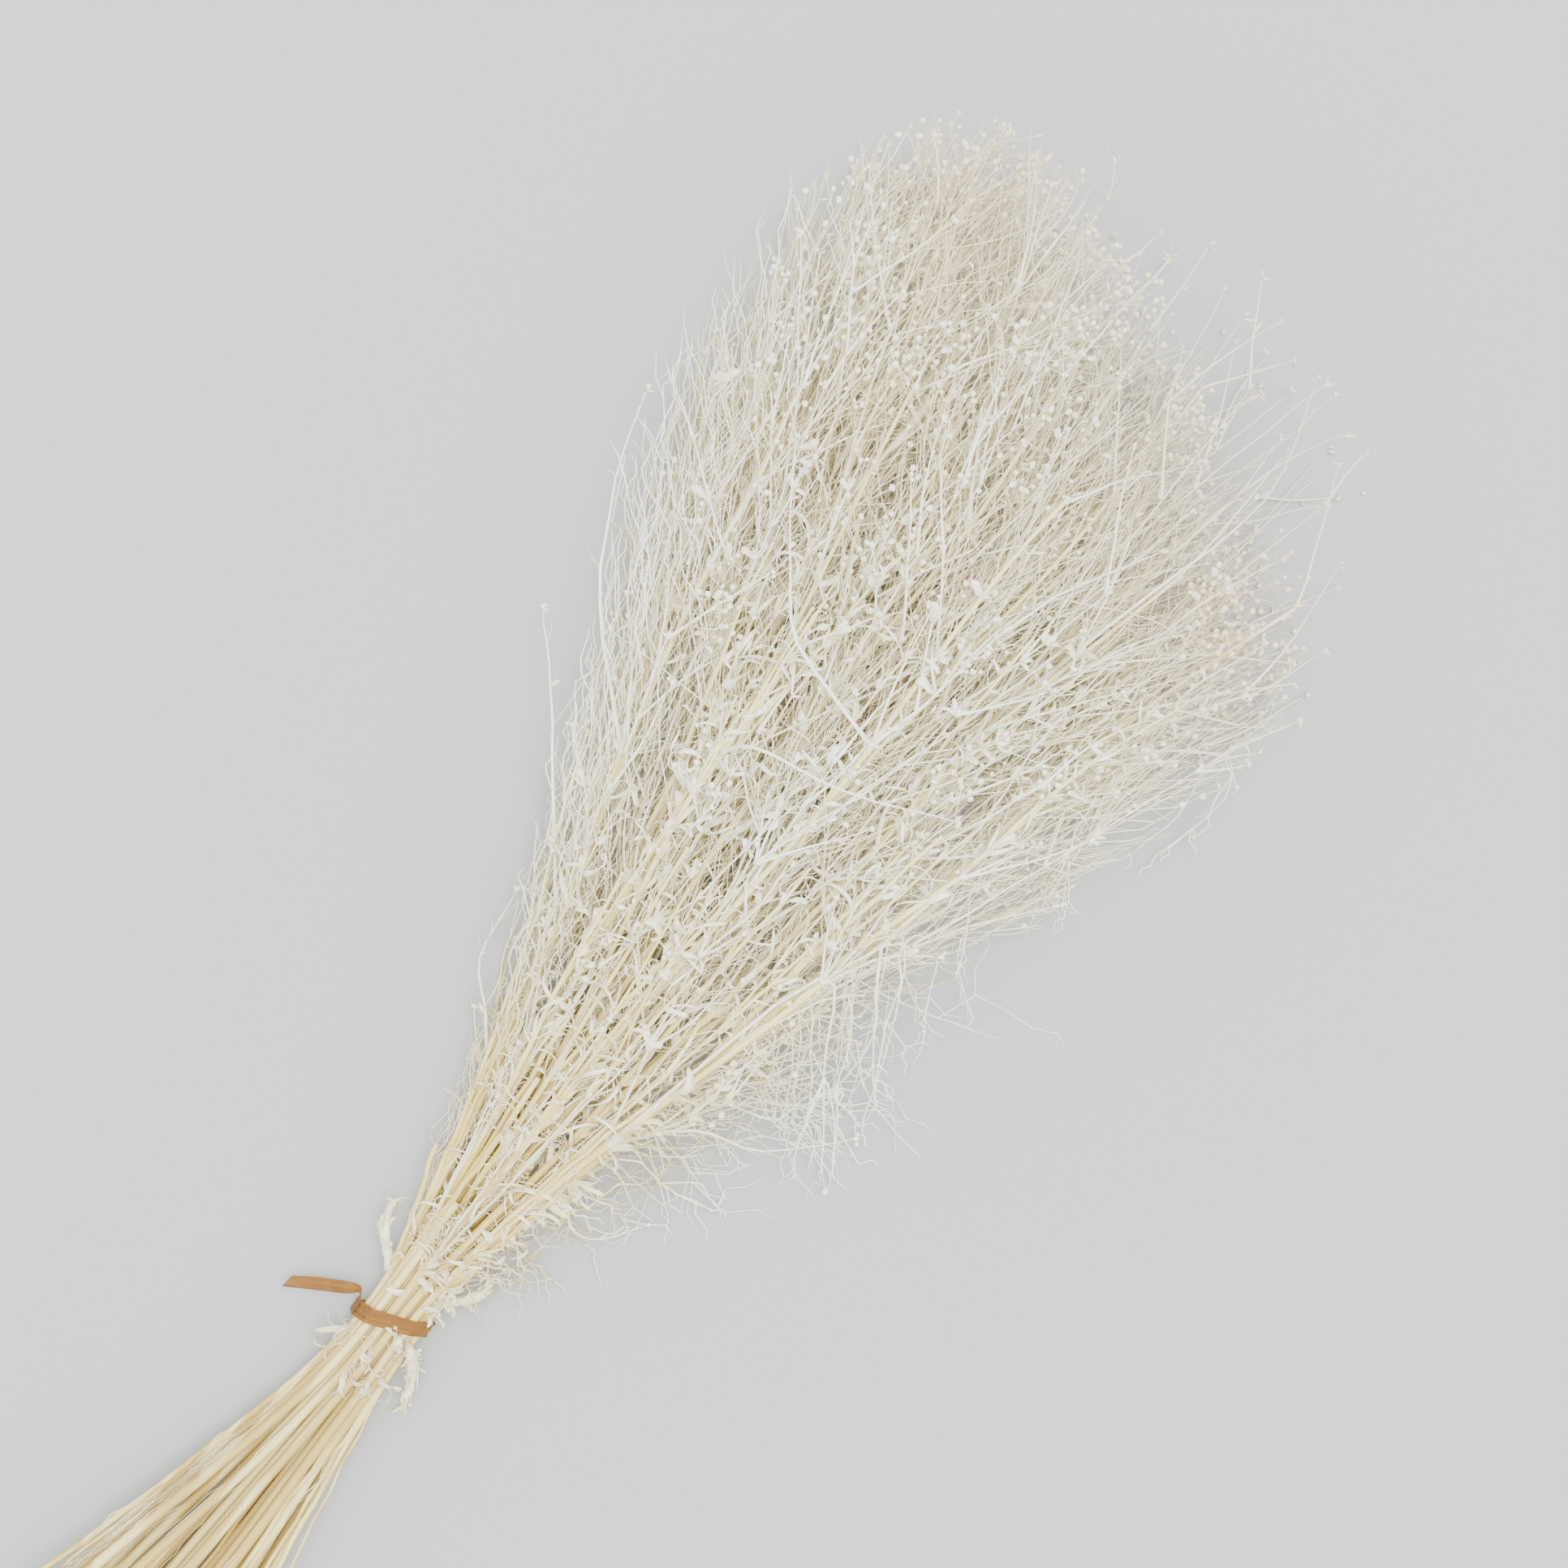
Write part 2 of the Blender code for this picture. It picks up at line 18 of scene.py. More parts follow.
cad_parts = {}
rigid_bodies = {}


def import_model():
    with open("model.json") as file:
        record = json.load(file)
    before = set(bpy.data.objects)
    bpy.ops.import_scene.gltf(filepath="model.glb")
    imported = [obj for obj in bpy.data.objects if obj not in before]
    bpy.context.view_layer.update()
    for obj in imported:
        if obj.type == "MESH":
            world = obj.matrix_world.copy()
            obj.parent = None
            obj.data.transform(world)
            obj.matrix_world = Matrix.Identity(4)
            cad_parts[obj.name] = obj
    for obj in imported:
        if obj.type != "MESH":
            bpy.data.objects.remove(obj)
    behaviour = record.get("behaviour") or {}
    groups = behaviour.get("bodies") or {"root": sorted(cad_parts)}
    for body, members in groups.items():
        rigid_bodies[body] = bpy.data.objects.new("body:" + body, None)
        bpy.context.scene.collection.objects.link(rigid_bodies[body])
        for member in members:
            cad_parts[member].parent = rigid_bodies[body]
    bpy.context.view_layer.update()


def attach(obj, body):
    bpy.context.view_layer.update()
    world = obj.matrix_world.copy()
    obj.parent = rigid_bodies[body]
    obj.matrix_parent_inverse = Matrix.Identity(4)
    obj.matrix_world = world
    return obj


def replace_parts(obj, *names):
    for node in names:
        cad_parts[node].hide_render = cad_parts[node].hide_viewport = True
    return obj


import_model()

# The bunch's own dimensions, as in its solids, in metres
HEAD_LENGTH = 0.333
HEAD_HALF_WIDTH = 0.090
TAIL_LENGTH = 0.142
NECK_PITCH = 0.00285
STEMS_IN_LAYER = (4, 5, 6, 5, 4)
STEM_BASE_RADIUS = 0.0015
STEM_NECK_RADIUS = 0.00115
STEM_TOP_RADIUS = 0.00050
BRANCH_RADIUS = 0.00060
TWIG_RADIUS = 0.00045
BUD_RADIUS = 0.00135
BUD_LENGTH = 0.0026
LEAF_HALF_WIDTH = 0.0016
LEAF_LENGTH = (0.012, 0.020)
TIE_WIDTH = 0.0045
TIE_THICKNESS = 0.0006
TIE_SLANT = math.tan(math.radians(20))
TIE_GAP = 0.00045
STEM_GAP = 0.0003
ROD_GAP = 0.0005
HEAD_WAIST_ACROSS = 0.0300
HEAD_WAIST_UP = 0.0500
TAIL_WAIST_ACROSS = 0.0340
TAIL_WAIST_UP = 0.1000
TAIL_LEAN = 0.085
HEAD_LAYER_SKEW = 0.060
TAIL_LAYER_SKEW = 0.035
BEND_LENGTH = 0.030
SWAY = 0.012
SWAY_RATE = (38, 30)
DRIFT = 0.030
HEAD_MIDDLE_X = 0.004
HEAD_START_HALF_WIDTH = 0.0125
HEAD_START_HEIGHT = 0.018
HEAD_FLARE = 0.305
HEAD_CLIMB = 0.180
HEAD_TOP_DROP = 0.055
HEAD_SIDE_DROP = 0.45
FAN_ORIGIN = Vector((0.0, -0.020, 0.004))
STEM_BENDS = (-0.085, -0.035, -0.006, 0.006, 0.024)
STEM_THIN_AT = 0.25
STEM_SHARE = (0.76, 0.93)
FIRST_JOINT = (0.040, 0.075)
JOINT_SPACING = (0.036, 0.052)
CUT_SHARE = (0.88, 1.0)
Shoot = namedtuple("Shoot", "spread turn_in steps thick thin shortest longest share")
BRANCH = Shoot((14, 42), 0.28, 3, BRANCH_RADIUS, TWIG_RADIUS, 0.030, 0.150, 0.95)
TWIG = Shoot((12, 50), 0.20, 1, TWIG_RADIUS, TWIG_RADIUS, 0.010, 0.042, 0.98)
SHOOT_LENGTHS = (0.7, 1.0)
TWIGS_PER_SPRAY = 15
TRIES = 16
GROWTH_SEED = 23
BUD_BELLY = 0.45
LEAF_ARCH = (0.6, 0.9, 1.4)
LAYER_HEIGHT = NECK_PITCH * math.sqrt(3) / 2
LOW_LAYER_Z = TIE_THICKNESS + TIE_GAP + STEM_NECK_RADIUS
HALF_STACK = LAYER_HEIGHT * (len(STEMS_IN_LAYER) - 1) / 2
NECK_Z = LOW_LAYER_Z + HALF_STACK
REST_Z = BUD_RADIUS * 1.02
BARE_STEMS = {0: 0.026, 20: 0.034, 22: 0.041}
LOW_FORKS = {21: 0.0145, 7: 0.022, 15: 0.026}
LEAFY_STEMS = (3, 4, 8, 11, 14, 16, 19, 23)
NECK_LEAVES = (
    (9, 0.0085, ((-0.0112, 0.0130, 0.010), (-0.0152, 0.0180, 0.013), (-0.0180, 0.0245, 0.012))),
    (14, -0.0030, ((0.0098, -0.0060, 0.008), (0.0128, -0.0105, 0.007), (0.0152, -0.0160, 0.005))),
    (19, -0.0020, ((0.0084, -0.0030, 0.013), (0.0118, -0.0065, 0.014), (0.0148, -0.0115, 0.012))),
    (8, 0.0100, ((0.0100, 0.0125, 0.006), (0.0135, 0.0165, 0.005), (0.0150, 0.0215, 0.004))),
)
STRAYS = (
    ((-0.048, 0.134, 0.020), (-0.062, 0.152, 0.020), (-0.075, 0.166, 0.016)),
    ((-0.027, 0.076, 0.012), (-0.036, 0.087, 0.012), (-0.039, 0.105, 0.010)),
    ((-0.064, 0.176, 0.030), (-0.079, 0.203, 0.030), (-0.086, 0.225, 0.027)),
    ((0.042, 0.255, 0.050), (0.051, 0.290, 0.056), (0.044, 0.320, 0.056)),
    ((0.034, 0.134, 0.034), (0.050, 0.114, 0.024), (0.068, 0.091, 0.006)),
    ((0.046, 0.142, 0.030), (0.054, 0.130, 0.022), (0.055, 0.113, 0.010)),
    ((0.032, 0.084, 0.018), (0.050, 0.090, 0.012), (0.066, 0.105, 0.006)),
    ((0.022, 0.046, 0.010), (0.030, 0.047, 0.007), (0.037, 0.056, 0.005)),
    ((-0.012, 0.170, 0.060), (0.012, 0.174, 0.064), (0.037, 0.184, 0.060)),
    ((-0.018, 0.196, 0.060), (-0.033, 0.213, 0.066), (-0.047, 0.234, 0.066)),
)
TIE_TAIL = (
    (0.0002, 0.0000, 0.0000, 0.32, 0.0002),
    (0.0020, 0.0034, 0.0008, 0.30, 0.0006),
    (0.0050, 0.0020, 0.0014, 0.64, 0.0010),
    (0.0118, -0.0018, 0.0012, 0.70, 0.0007),
    (0.0182, -0.0059, 0.0004, 0.66, 0.0003),
)
TIE_SHORT_END = (
    (0.0002, -0.0010, 0.0004, 0.80, 0.0),
    (0.0010, -0.0010, -0.0026, 0.72, 0.0),
    (0.0013, -0.0010, -0.0052, 0.85, 0.0),
)
TAIL_CROSSWISE = Vector((0.49, -0.87, 0.0))
TAIL_CUT = Vector((0.0010, 0.0005, 0.0))

# What the looks add
DETAIL_SEED = 7
FLOOR_Z = -0.0002
LOWEST_Z = 0.0006
LEAST_HEIGHT = 0.006
LEAF_THICKNESS = 0.00014
BAND_THICKNESS = 0.00038
END_THICKNESS = 0.0004
EDGE_SHARE = 0.3
LEAST_REACH = 0.006
WISP_RADIUS = 0.00034
HAIR_RADIUS = 0.00013
SMALL_BUD_RADIUS = (0.00058, 0.00104)
BUD_FOOT = 1.15
# Fine growth: how many to a spray, how each leans off, its length and its radius
Growth = namedtuple("Growth", "count lean length radius")
SPRIG = Growth(9, (12, 46), (0.014, 0.030), 0.00031)
CYME = Growth(165, (8, 54), (0.008, 0.021), 0.00017)
LONG_THREAD = Growth(50, (6, 36), (0.025, 0.075), 0.00014)
# How it goes on past a knot and forks there, in degrees and as shares of the stretch before
Knot = namedtuple("Knot", "lean stretch fork_lean fork_stretch bow")
SPRIG_KNOT = Knot((3, 15), (0.75, 1.2), (16, 40), (0.6, 0.95), (0.0, 0.045))
CYME_KNOT = Knot((4, 18), (0.65, 0.95), (12, 38), (0.5, 0.9), (0.02, 0.08))
# How many there are of other fine things
DROOPING, WISPS, CANES = 28, 80, 34
VEIL_THREADS, NECK_THREADS, TAIL_THREADS = 160, 70, 64
ROLLS_PER_SPRAY, TUFTS_PER_SPRAY, HAIRS_IN_TUFT, HAIRS_IN_NECK_TUFT = 20, 6, 9, 12
# What rolls up as it dries: how far it leans, its length (a shred's as a share), bend and twist
Curl = namedtuple("Curl", "lean length steps bend twist")
JOINT_SCALE = Curl((25, 75), (0.004, 0.0090), 4, (0.3, 2.2), 0.4)
KNOT_SCALE = JOINT_SCALE._replace(length=(0.0016, 0.0036), steps=2)
RAG = Curl((15, 75), (0.0024, 0.0062), 5, (0.3, 2.6), (-1.5, 1.5))
RISER_RAG = RAG._replace(length=(0.003, 0.007))
SHRED = Curl((2, 24), (0.6, 1.0), 6, (0.5, 2.8), (-2.2, 2.2))
ROLL = Curl((15, 60), (0.009, 0.026), 9, (2.5, 8.0), (-6, 6))
NECK_ROLL = Curl((15, 60), (0.008, 0.020), 9, (1.5, 7.0), (-5, 5))
HAIR = Curl((15, 95), (0.004, 0.013), 5, (1.0, 5.0), (-3, 3))
NECK_HAIR = Curl((0, 50), (0.004, 0.010), 5, (1.5, 6.0), (-3, 3))
# How wide a leaf of each kind is along its length, as a share of its half width
PROFILES = {
    "scale": (0.5, 1.0, 0.85, 0.5, 0.06),
    "curl": (0.7, 1.0, 1.0, 0.95, 0.9, 0.8, 0.65, 0.45, 0.25, 0.05),
    "lance": (0.35, 0.6, 0.85, 1.0, 1.0, 0.9, 0.75, 0.55, 0.3, 0.05),
    "shred": (0.6, 1.0, 0.85, 1.0, 0.7, 0.8, 0.25),
    "rag": (0.45, 0.9, 1.0, 0.75, 1.0, 0.5),
    "husk": (0.5, 0.8, 1.0, 1.15, 1.2, 1.2, 1.1, 0.9, 0.6, 0.12),
}
# How far torn paper is dented, as a share of its half width
CRUMPLED = {"rag": 0.7, "shred": 0.8, "husk": 0.35}
# How far the finest growth reaches: down the left and right sides as (y, x), on top as (x, y)
LEFT_EDGE = (
    (0.0, 0.045, 0.093, 0.115, 0.180, 0.216, 0.270, 0.340),
    (-0.0085, -0.0175, -0.035, -0.042, -0.066, -0.086, -0.0905, -0.0900),
)
RIGHT_EDGE = (
    (0.0, 0.021, 0.047, 0.094, 0.124, 0.181, 0.225, 0.275, 0.340),
    (0.0120, 0.0215, 0.034, 0.054, 0.064, 0.0735, 0.088, 0.0925, 0.0850),
)
TOP_EDGE = (
    (-0.090, -0.078, -0.051, -0.012, 0.022, 0.069, 0.092),
    (0.285, 0.312, 0.333, 0.333, 0.325, 0.302, 0.272),
)
EDGE_SOFTNESS = 0.013
# The upper right, where the growth thins out into a haze: both are measured along lean * x + y
OUTWARD_LEAN = 0.6
THIN_FROM, THIN_DEPTH = 0.262, 0.085
HAZE_EDGE = ((-0.060, 0.040, 0.075, 0.090), (0.318, 0.306, 0.320, 0.333))
HAZE_DEPTH, HAZE_START = 0.028, 0.8
# Brittle twigs that hang out of the right side, each by the points that it passes
FRINGE = (
    ((0.0332, 0.1266, 0.030), (0.0460, 0.1100, 0.016), (0.0540, 0.0985, 0.008), (0.0674, 0.0922, 0.003)),
    ((0.0374, 0.1421, 0.034), (0.0500, 0.1220, 0.018), (0.0595, 0.1062, 0.006)),
    ((0.0450, 0.1578, 0.036), (0.0570, 0.1330, 0.018), (0.0652, 0.1154, 0.005)),
    ((0.0392, 0.0900, 0.012), (0.0500, 0.0985, 0.010), (0.0649, 0.1040, 0.004)),
    ((0.0819, 0.2341, 0.020), (0.0879, 0.2196, 0.012), (0.0845, 0.2054, 0.004)),
)
# The middles of the thickest clusters of buds, as (x, y)
BUD_CLUSTERS = ((-0.040, 0.268), (-0.015, 0.258), (-0.028, 0.286), (0.012, 0.215), (-0.004, 0.300))
# Where torn papery sheaths lie round the tie: the middle of each place, and how many
SHEATHS = (
    ((0.004, -0.013), 7),
    ((0.0100, 0.009), 9),
    ((0.001, 0.014), 4),
    ((0.012, 0.030), 9),
    ((0.018, 0.050), 9),
)
# The colours of the plant: painted shade deep in the bunch, midway, painted light on top, in blotches, and
# low by the tie, with how far painted shade adds to the low colour deeper in the stack
Look = namedtuple("Look", "deep middle light tan low low_fade roughness heights grain")
# Gold is the stems' painted shade between them, straw their middle tone and blotches, ivory their painted
# highlight on top
STRAW, GOLD_PAINTED_SHADE, IVORY_PAINTED_LIGHT = (0.88, 0.76, 0.36), (0.86, 0.68, 0.27), (0.93, 0.88, 0.52)
LOOKS = {
    "bleached_stem": Look(GOLD_PAINTED_SHADE, STRAW, IVORY_PAINTED_LIGHT, STRAW, (0.68, 0.50, 0.11), -0.3, 0.45, (0.2, 0.95), 0.35),
    "white_twig": Look(
        (0.96, 0.88, 0.60), (0.97, 0.96, 0.82), (0.985, 0.985, 0.91), (0.95, 0.93, 0.72),
        (0.72, 0.58, 0.22), -0.35, 0.6, (0.1, 0.7), 0.2
    ),
    "beige_thread": Look(
        (0.97, 0.865, 0.57), (0.96, 0.865, 0.58), (0.96, 0.90, 0.66), (0.95, 0.80, 0.50),
        (0.87, 0.72, 0.38), -0.2, 0.7, (0.15, 0.95), 0.1
    ),
    "bud_skin": Look(
        (0.93, 0.86, 0.60), (0.95, 0.92, 0.74), (0.965, 0.96, 0.86), (0.92, 0.86, 0.64),
        (0.88, 0.79, 0.50), -0.2, 0.65, (0.1, 0.8), 0.2
    ),
    "papery_leaf": Look(
        (0.94, 0.84, 0.50), (0.95, 0.92, 0.72), (0.97, 0.97, 0.88), (0.92, 0.84, 0.54),
        (0.86, 0.75, 0.40), -0.35, 0.6, (0.1, 0.8), 0.4
    ),
}
# Where the colour masks begin and end, along y and, for the haze, outward
RAGGED_SPAN, LOW_SPAN, TAIL_SPAN, HAZE_SPAN = (0.022, 0.05), (0.19, 0.02), (0.055, -0.03), (0.24, 0.33)
# The haze's colour, and faint tan patches: the middle of each, its reach and its strength
TAN, HAZE = (0.88, 0.66, 0.42), (0.81, 0.73, 0.56)
TAN_SPOTS = (((0.066, 0.268, 0.030), 0.026, 0.5), ((-0.050, 0.318, 0.045), 0.050, 0.3))


def neck_lanes():
    """The places of the stems under the tie, across and up from its middle, packed like rods."""
    lanes = []
    for layer, count in enumerate(STEMS_IN_LAYER):
        up = layer * LAYER_HEIGHT - HALF_STACK
        for k in range(count):
            lanes.append(((k - (count - 1) / 2) * NECK_PITCH, up))
    return lanes


def lane_point(lane, y, wander):
    """Where a stem of this lane runs at y: the stack opens both ways from the tie."""
    across, up = lane
    layer = up / LAYER_HEIGHT
    past_bend = math.hypot(y, BEND_LENGTH) - BEND_LENGTH
    if y > 0:
        wide, tall = math.hypot(1, y / HEAD_WAIST_ACROSS), math.hypot(1, y / HEAD_WAIST_UP)
        x = across * wide + HEAD_LAYER_SKEW * layer * past_bend
        low = LOW_LAYER_Z
    else:
        wide, tall = math.hypot(1, y / TAIL_WAIST_ACROSS), math.hypot(1, y / TAIL_WAIST_UP)
        x = across * wide - (TAIL_LAYER_SKEW * layer + TAIL_LEAN) * past_bend
        low = LOW_LAYER_Z + (STEM_BASE_RADIUS - LOW_LAYER_Z) * min(1.0, -y / TAIL_LENGTH)
    x += past_bend * (SWAY * math.sin(SWAY_RATE[0] * y + wander[0]) + wander[2])
    z = low + (up + HALF_STACK) * tall
    z += past_bend * (SWAY * (1 + math.sin(SWAY_RATE[1] * y + wander[1])) + wander[3])
    return Vector((x, y, z))


def stem_radius(y):
    """Thickest at the cut end, thinnest at the top."""
    if y < 0:
        return STEM_NECK_RADIUS + (STEM_BASE_RADIUS - STEM_NECK_RADIUS) * min(1.0, -y / TAIL_LENGTH)
    return STEM_NECK_RADIUS + (STEM_TOP_RADIUS - STEM_NECK_RADIUS) * min(1.0, y / STEM_THIN_AT)


def fan_direction(point):
    """The way the bunch spreads at a point."""
    return (point - FAN_ORIGIN).normalized()


def head_room(point):
    """How far inside the outline of the flower head a point is."""
    off_middle = abs(point.x - HEAD_MIDDLE_X)
    half_width = min(HEAD_START_HALF_WIDTH + HEAD_FLARE * point.y, HEAD_HALF_WIDTH)
    top = HEAD_LENGTH - HEAD_TOP_DROP * (point.x / HEAD_HALF_WIDTH) ** 4
    height = HEAD_START_HEIGHT + HEAD_CLIMB * point.y
    height *= 1 - HEAD_SIDE_DROP * (off_middle / half_width) ** 2
    return min(half_width - off_middle, top - point.y, height - point.z)


def reach_in_head(point, direction):
    """How far one can go from a point before leaving the outline of the head."""
    reach, step = 0.0, 0.004
    while reach < HEAD_LENGTH and head_room(point + direction * reach) > 0:
        reach += step
    return reach


def turned(direction, degrees, turn):
    """A direction tilted by so many degrees, to the side that the turn gives."""
    side = direction.orthogonal().normalized()
    side.rotate(Matrix.Rotation(turn, 3, direction))
    angle = math.radians(degrees)
    return direction * math.cos(angle) + side * math.sin(angle)


def segment_distances(a, b, starts, ends):
    """The shortest distance from the segment a to b to each of the segments starts to ends."""
    tiny = 1e-18
    along, others, between = b - a, ends - starts, a - starts
    aa = max(along @ along, tiny)
    bb = np.maximum(np.einsum("ij,ij->i", others, others), tiny)
    ab = others @ along
    a0 = between @ along
    b0 = np.einsum("ij,ij->i", others, between)
    s = np.clip((ab * b0 - a0 * bb) / np.maximum(aa * bb - ab * ab, tiny), 0, 1)
    t = np.clip((ab * s + b0) / bb, 0, 1)
    s = np.clip((ab * t - a0) / aa, 0, 1)
    gap = between + s[:, None] * along - t[:, None] * others
    return np.sqrt(np.einsum("ij,ij->i", gap, gap))


class Thicket:
    """Every rod grown so far, as straight stretches, each with its radius and its plant."""

    def __init__(self):
        self.stretches = np.empty((0, 8))
        self.tips = np.empty((0, 3))

    def add(self, plant, rod):
        """Take in a new rod of the plant."""
        points, radii = rod
        rows = [
            (*points[k], *points[k + 1], max(radii[k], radii[k + 1]), plant.number)
            for k in range(len(points) - 1)
        ]
        self.stretches = np.vstack((self.stretches, rows))
        self.tips = np.vstack((self.tips, points[-1]))

    def is_clear(self, plant, rod, gap=ROD_GAP):
        """Whether a new rod of the plant runs clear of the rods of all the other plants."""
        points, radii = rod
        others = self.stretches[self.stretches[:, 7] != plant.number]
        for k in range(1, len(points)):
            start, end = np.array(points[k - 1]), np.array(points[k])
            distances = segment_distances(start, end, others[:, 0:3], others[:, 3:6])
            if (distances < others[:, 6] + max(radii[k - 1], radii[k]) + gap).any():
                return False
        return True

    def loneliness(self, point):
        """How far a point is from the nearest bud."""
        return np.linalg.norm(self.tips - np.array(point), axis=1).min()


class Plant:
    """One cut stem and what grows on it, each as a rod: its points and its radii."""

    def __init__(self, number, lane):
        self.number = number
        self.lane = lane
        phases = any_turn(), any_turn()
        self.wander = (*phases, rng.uniform(-DRIFT, DRIFT), rng.uniform(0, DRIFT))
        self.is_bare = number in BARE_STEMS
        self.top = BARE_STEMS[number] if self.is_bare else self.draw_top()
        self.joints = [] if self.is_bare else self.draw_joints()
        self.cut = -TAIL_LENGTH * rng.uniform(*CUT_SHARE)
        places = {self.cut, *STEM_BENDS, *self.joints, self.top}
        places = sorted(y for y in places if y <= self.top)
        self.stem = [self.at(y) for y in places], [stem_radius(y) for y in places]
        if not self.is_bare:
            self.stem = with_bud(*self.stem)
        self.branches = []
        self.twigs = []
        self.leaves = []

    def draw_top(self):
        """Most of the way to the outline, along the way the stem takes in mid head."""
        start = self.at(HEAD_LENGTH * 0.36)
        heading = (self.at(HEAD_LENGTH * 0.60) - start).normalized()
        return (start.y + reach_in_head(start, heading)) * rng.uniform(*STEM_SHARE)

    def draw_joints(self):
        """Where branches grow: two at a low fork, then one at each joint up the stem."""
        joints = [LOW_FORKS[self.number]] * 2 if self.number in LOW_FORKS else []
        y = rng.uniform(*FIRST_JOINT)
        while y < self.top - FIRST_JOINT[0]:
            joints.append(y)
            y += rng.uniform(*JOINT_SPACING)
        return joints

    def at(self, y):
        """Where the stem runs at y."""
        return lane_point(self.lane, y, self.wander)

    def ahead(self, y):
        """The way the stem points at y."""
        near = 0.002
        return (self.at(y + near) - self.at(y - near)).normalized()

    def twig_places(self):
        """Where twigs may grow, with the way each place points, the outer places first."""
        places = [(self.at(y), self.ahead(y)) for y in self.joints[2:]]
        places.append((self.at(self.top), self.ahead(self.top)))
        for points, _ in self.branches:
            for k in range(1, BRANCH.steps + 1):
                places.append((points[k], (points[k + 1] - points[k]).normalized()))
        return sorted(places, key=lambda place: -place[0].y)


def any_turn():
    """A turn drawn by chance, in radians."""
    return rng.uniform(0, 2 * math.pi)


def with_bud(points, radii):
    """The rod with a bud at its end: a belly, then a point. Neither dips below the surface."""
    way = (points[-1] - points[-2]).normalized()
    belly, tip = points[-1] + way * BUD_LENGTH * BUD_BELLY, points[-1] + way * BUD_LENGTH
    belly.z, tip.z = max(belly.z, REST_Z), max(tip.z, REST_Z)
    return points + [belly, tip], radii + [BUD_RADIUS, 0.0]


def limb(base, heading, length, shoot):
    """A rod that sets off along heading and bends round to the bunch's own spread."""
    points, radii = [base], [shoot.thick]
    for step in range(1, shoot.steps + 1):
        heading = (heading + shoot.turn_in * fan_direction(points[-1])).normalized()
        ahead = points[-1] + heading * length / shoot.steps
        ahead.z = max(ahead.z, REST_Z)
        points.append(ahead)
        radii.append(shoot.thick + (shoot.thin - shoot.thick) * step / shoot.steps)
    return with_bud(points, radii)


def offshoot(thicket, plant, base, ahead, shoot):
    """Of several drawn limbs, the one whose bud stands most alone, clear of other plants."""
    drawn = []
    for attempt in range(TRIES):
        turn = any_turn()
        heading = turned(ahead, rng.uniform(*shoot.spread), turn)
        way = (heading + shoot.turn_in * fan_direction(base)).normalized()
        length = min(shoot.longest, reach_in_head(base, way) * shoot.share)
        length *= rng.uniform(*SHOOT_LENGTHS)
        if length > shoot.shortest:
            rod = limb(base, heading, length, shoot)
            if head_room(rod[0][-1]) > 0:
                drawn.append((thicket.loneliness(rod[0][-1]), attempt, rod))
    for _, _, rod in sorted(drawn, reverse=True):
        if thicket.is_clear(plant, rod):
            thicket.add(plant, rod)
            return [rod]
    return []


def set_out_stems(thicket):
    """A stem in every lane under the tie, each one drawn again until it runs clear."""
    plants = []
    for number, lane in enumerate(neck_lanes()):
        plant = Plant(number, lane)
        while plants and not thicket.is_clear(plant, plant.stem, STEM_GAP):
            plant = Plant(number, lane)
        plants.append(plant)
        thicket.add(plant, plant.stem)
    return plants


def grow(thicket, plants):
    """Let every plant grow in turn: its branches, the strays, its leaves, then its twigs."""
    sprays = [plant for plant in plants if not plant.is_bare]
    for turn in range(max(len(plant.joints) for plant in sprays)):
        for plant in sprays:
            if turn < len(plant.joints):
                y = plant.joints[turn]
                plant.branches += offshoot(thicket, plant, plant.at(y), plant.ahead(y), BRANCH)
    for passes in STRAYS:
        grow_stray(thicket, sprays, [Vector(point) for point in passes])
    for number, y, passes in NECK_LEAVES:
        points = [plants[number].at(y), *(Vector(point) for point in passes)]
        add_leaf(thicket, plants[number], points, Vector((0, 0, 1)))
    for plant in sprays:
        if plant.number in LEAFY_STEMS:
            grow_leaves(thicket, plant, plant.joints[0])
    places = {plant.number: plant.twig_places() for plant in sprays}
    for turn in range(TWIGS_PER_SPRAY):
        for plant in sprays:
            mine = places[plant.number]
            plant.twigs += offshoot(thicket, plant, *mine[turn % len(mine)], TWIG)


def grow_stray(thicket, sprays, passes):
    """A stray twig through the given points, rooted on the nearest joint that leaves it clear."""
    aim = passes[0] - (passes[1] - passes[0]) * 0.8
    roots = [((plant.at(y) - aim).length, y, plant) for plant in sprays for y in plant.joints]
    for _, y, plant in sorted(roots, key=lambda root: root[:2]):
        rod = with_bud([plant.at(y), *passes], [BRANCH_RADIUS] * 2 + [TWIG_RADIUS] * 2)
        if thicket.is_clear(plant, rod):
            plant.twigs.append(rod)
            thicket.add(plant, rod)
            return


def leaf_rod(points):
    """The room that a leaf takes up: a rod along its midrib, as wide as the leaf."""
    return points, [LEAF_HALF_WIDTH] * len(points)


def add_leaf(thicket, plant, points, facing):
    """Give the plant a leaf along these points, with its flat side turned to facing."""
    across = (points[-1] - points[0]).cross(facing).normalized()
    plant.leaves.append((points, across))
    thicket.add(plant, leaf_rod(points))


def grow_leaves(thicket, plant, y):
    """Two thin leaves at a joint, arching out to the sides where there is room for them."""
    ahead = plant.ahead(y)
    for _ in range(4 * TRIES):
        way = turned(ahead, 90, any_turn())
        length = rng.uniform(*LEAF_LENGTH)
        points = [plant.at(y)]
        for angle in LEAF_ARCH:
            step = ahead * math.cos(angle) + way * math.sin(angle)
            points.append(points[-1] + step * length / len(LEAF_ARCH))
            points[-1].z = max(points[-1].z, LEAF_HALF_WIDTH)
        if len(plant.leaves) < 2 and thicket.is_clear(plant, leaf_rod(points)):
            add_leaf(thicket, plant, points, way)


# Lines and growth of the fine pieces


def picked(span):
    """A value drawn from a span, or the value itself where there is only one."""
    return rng.uniform(*span) if isinstance(span, tuple) else span


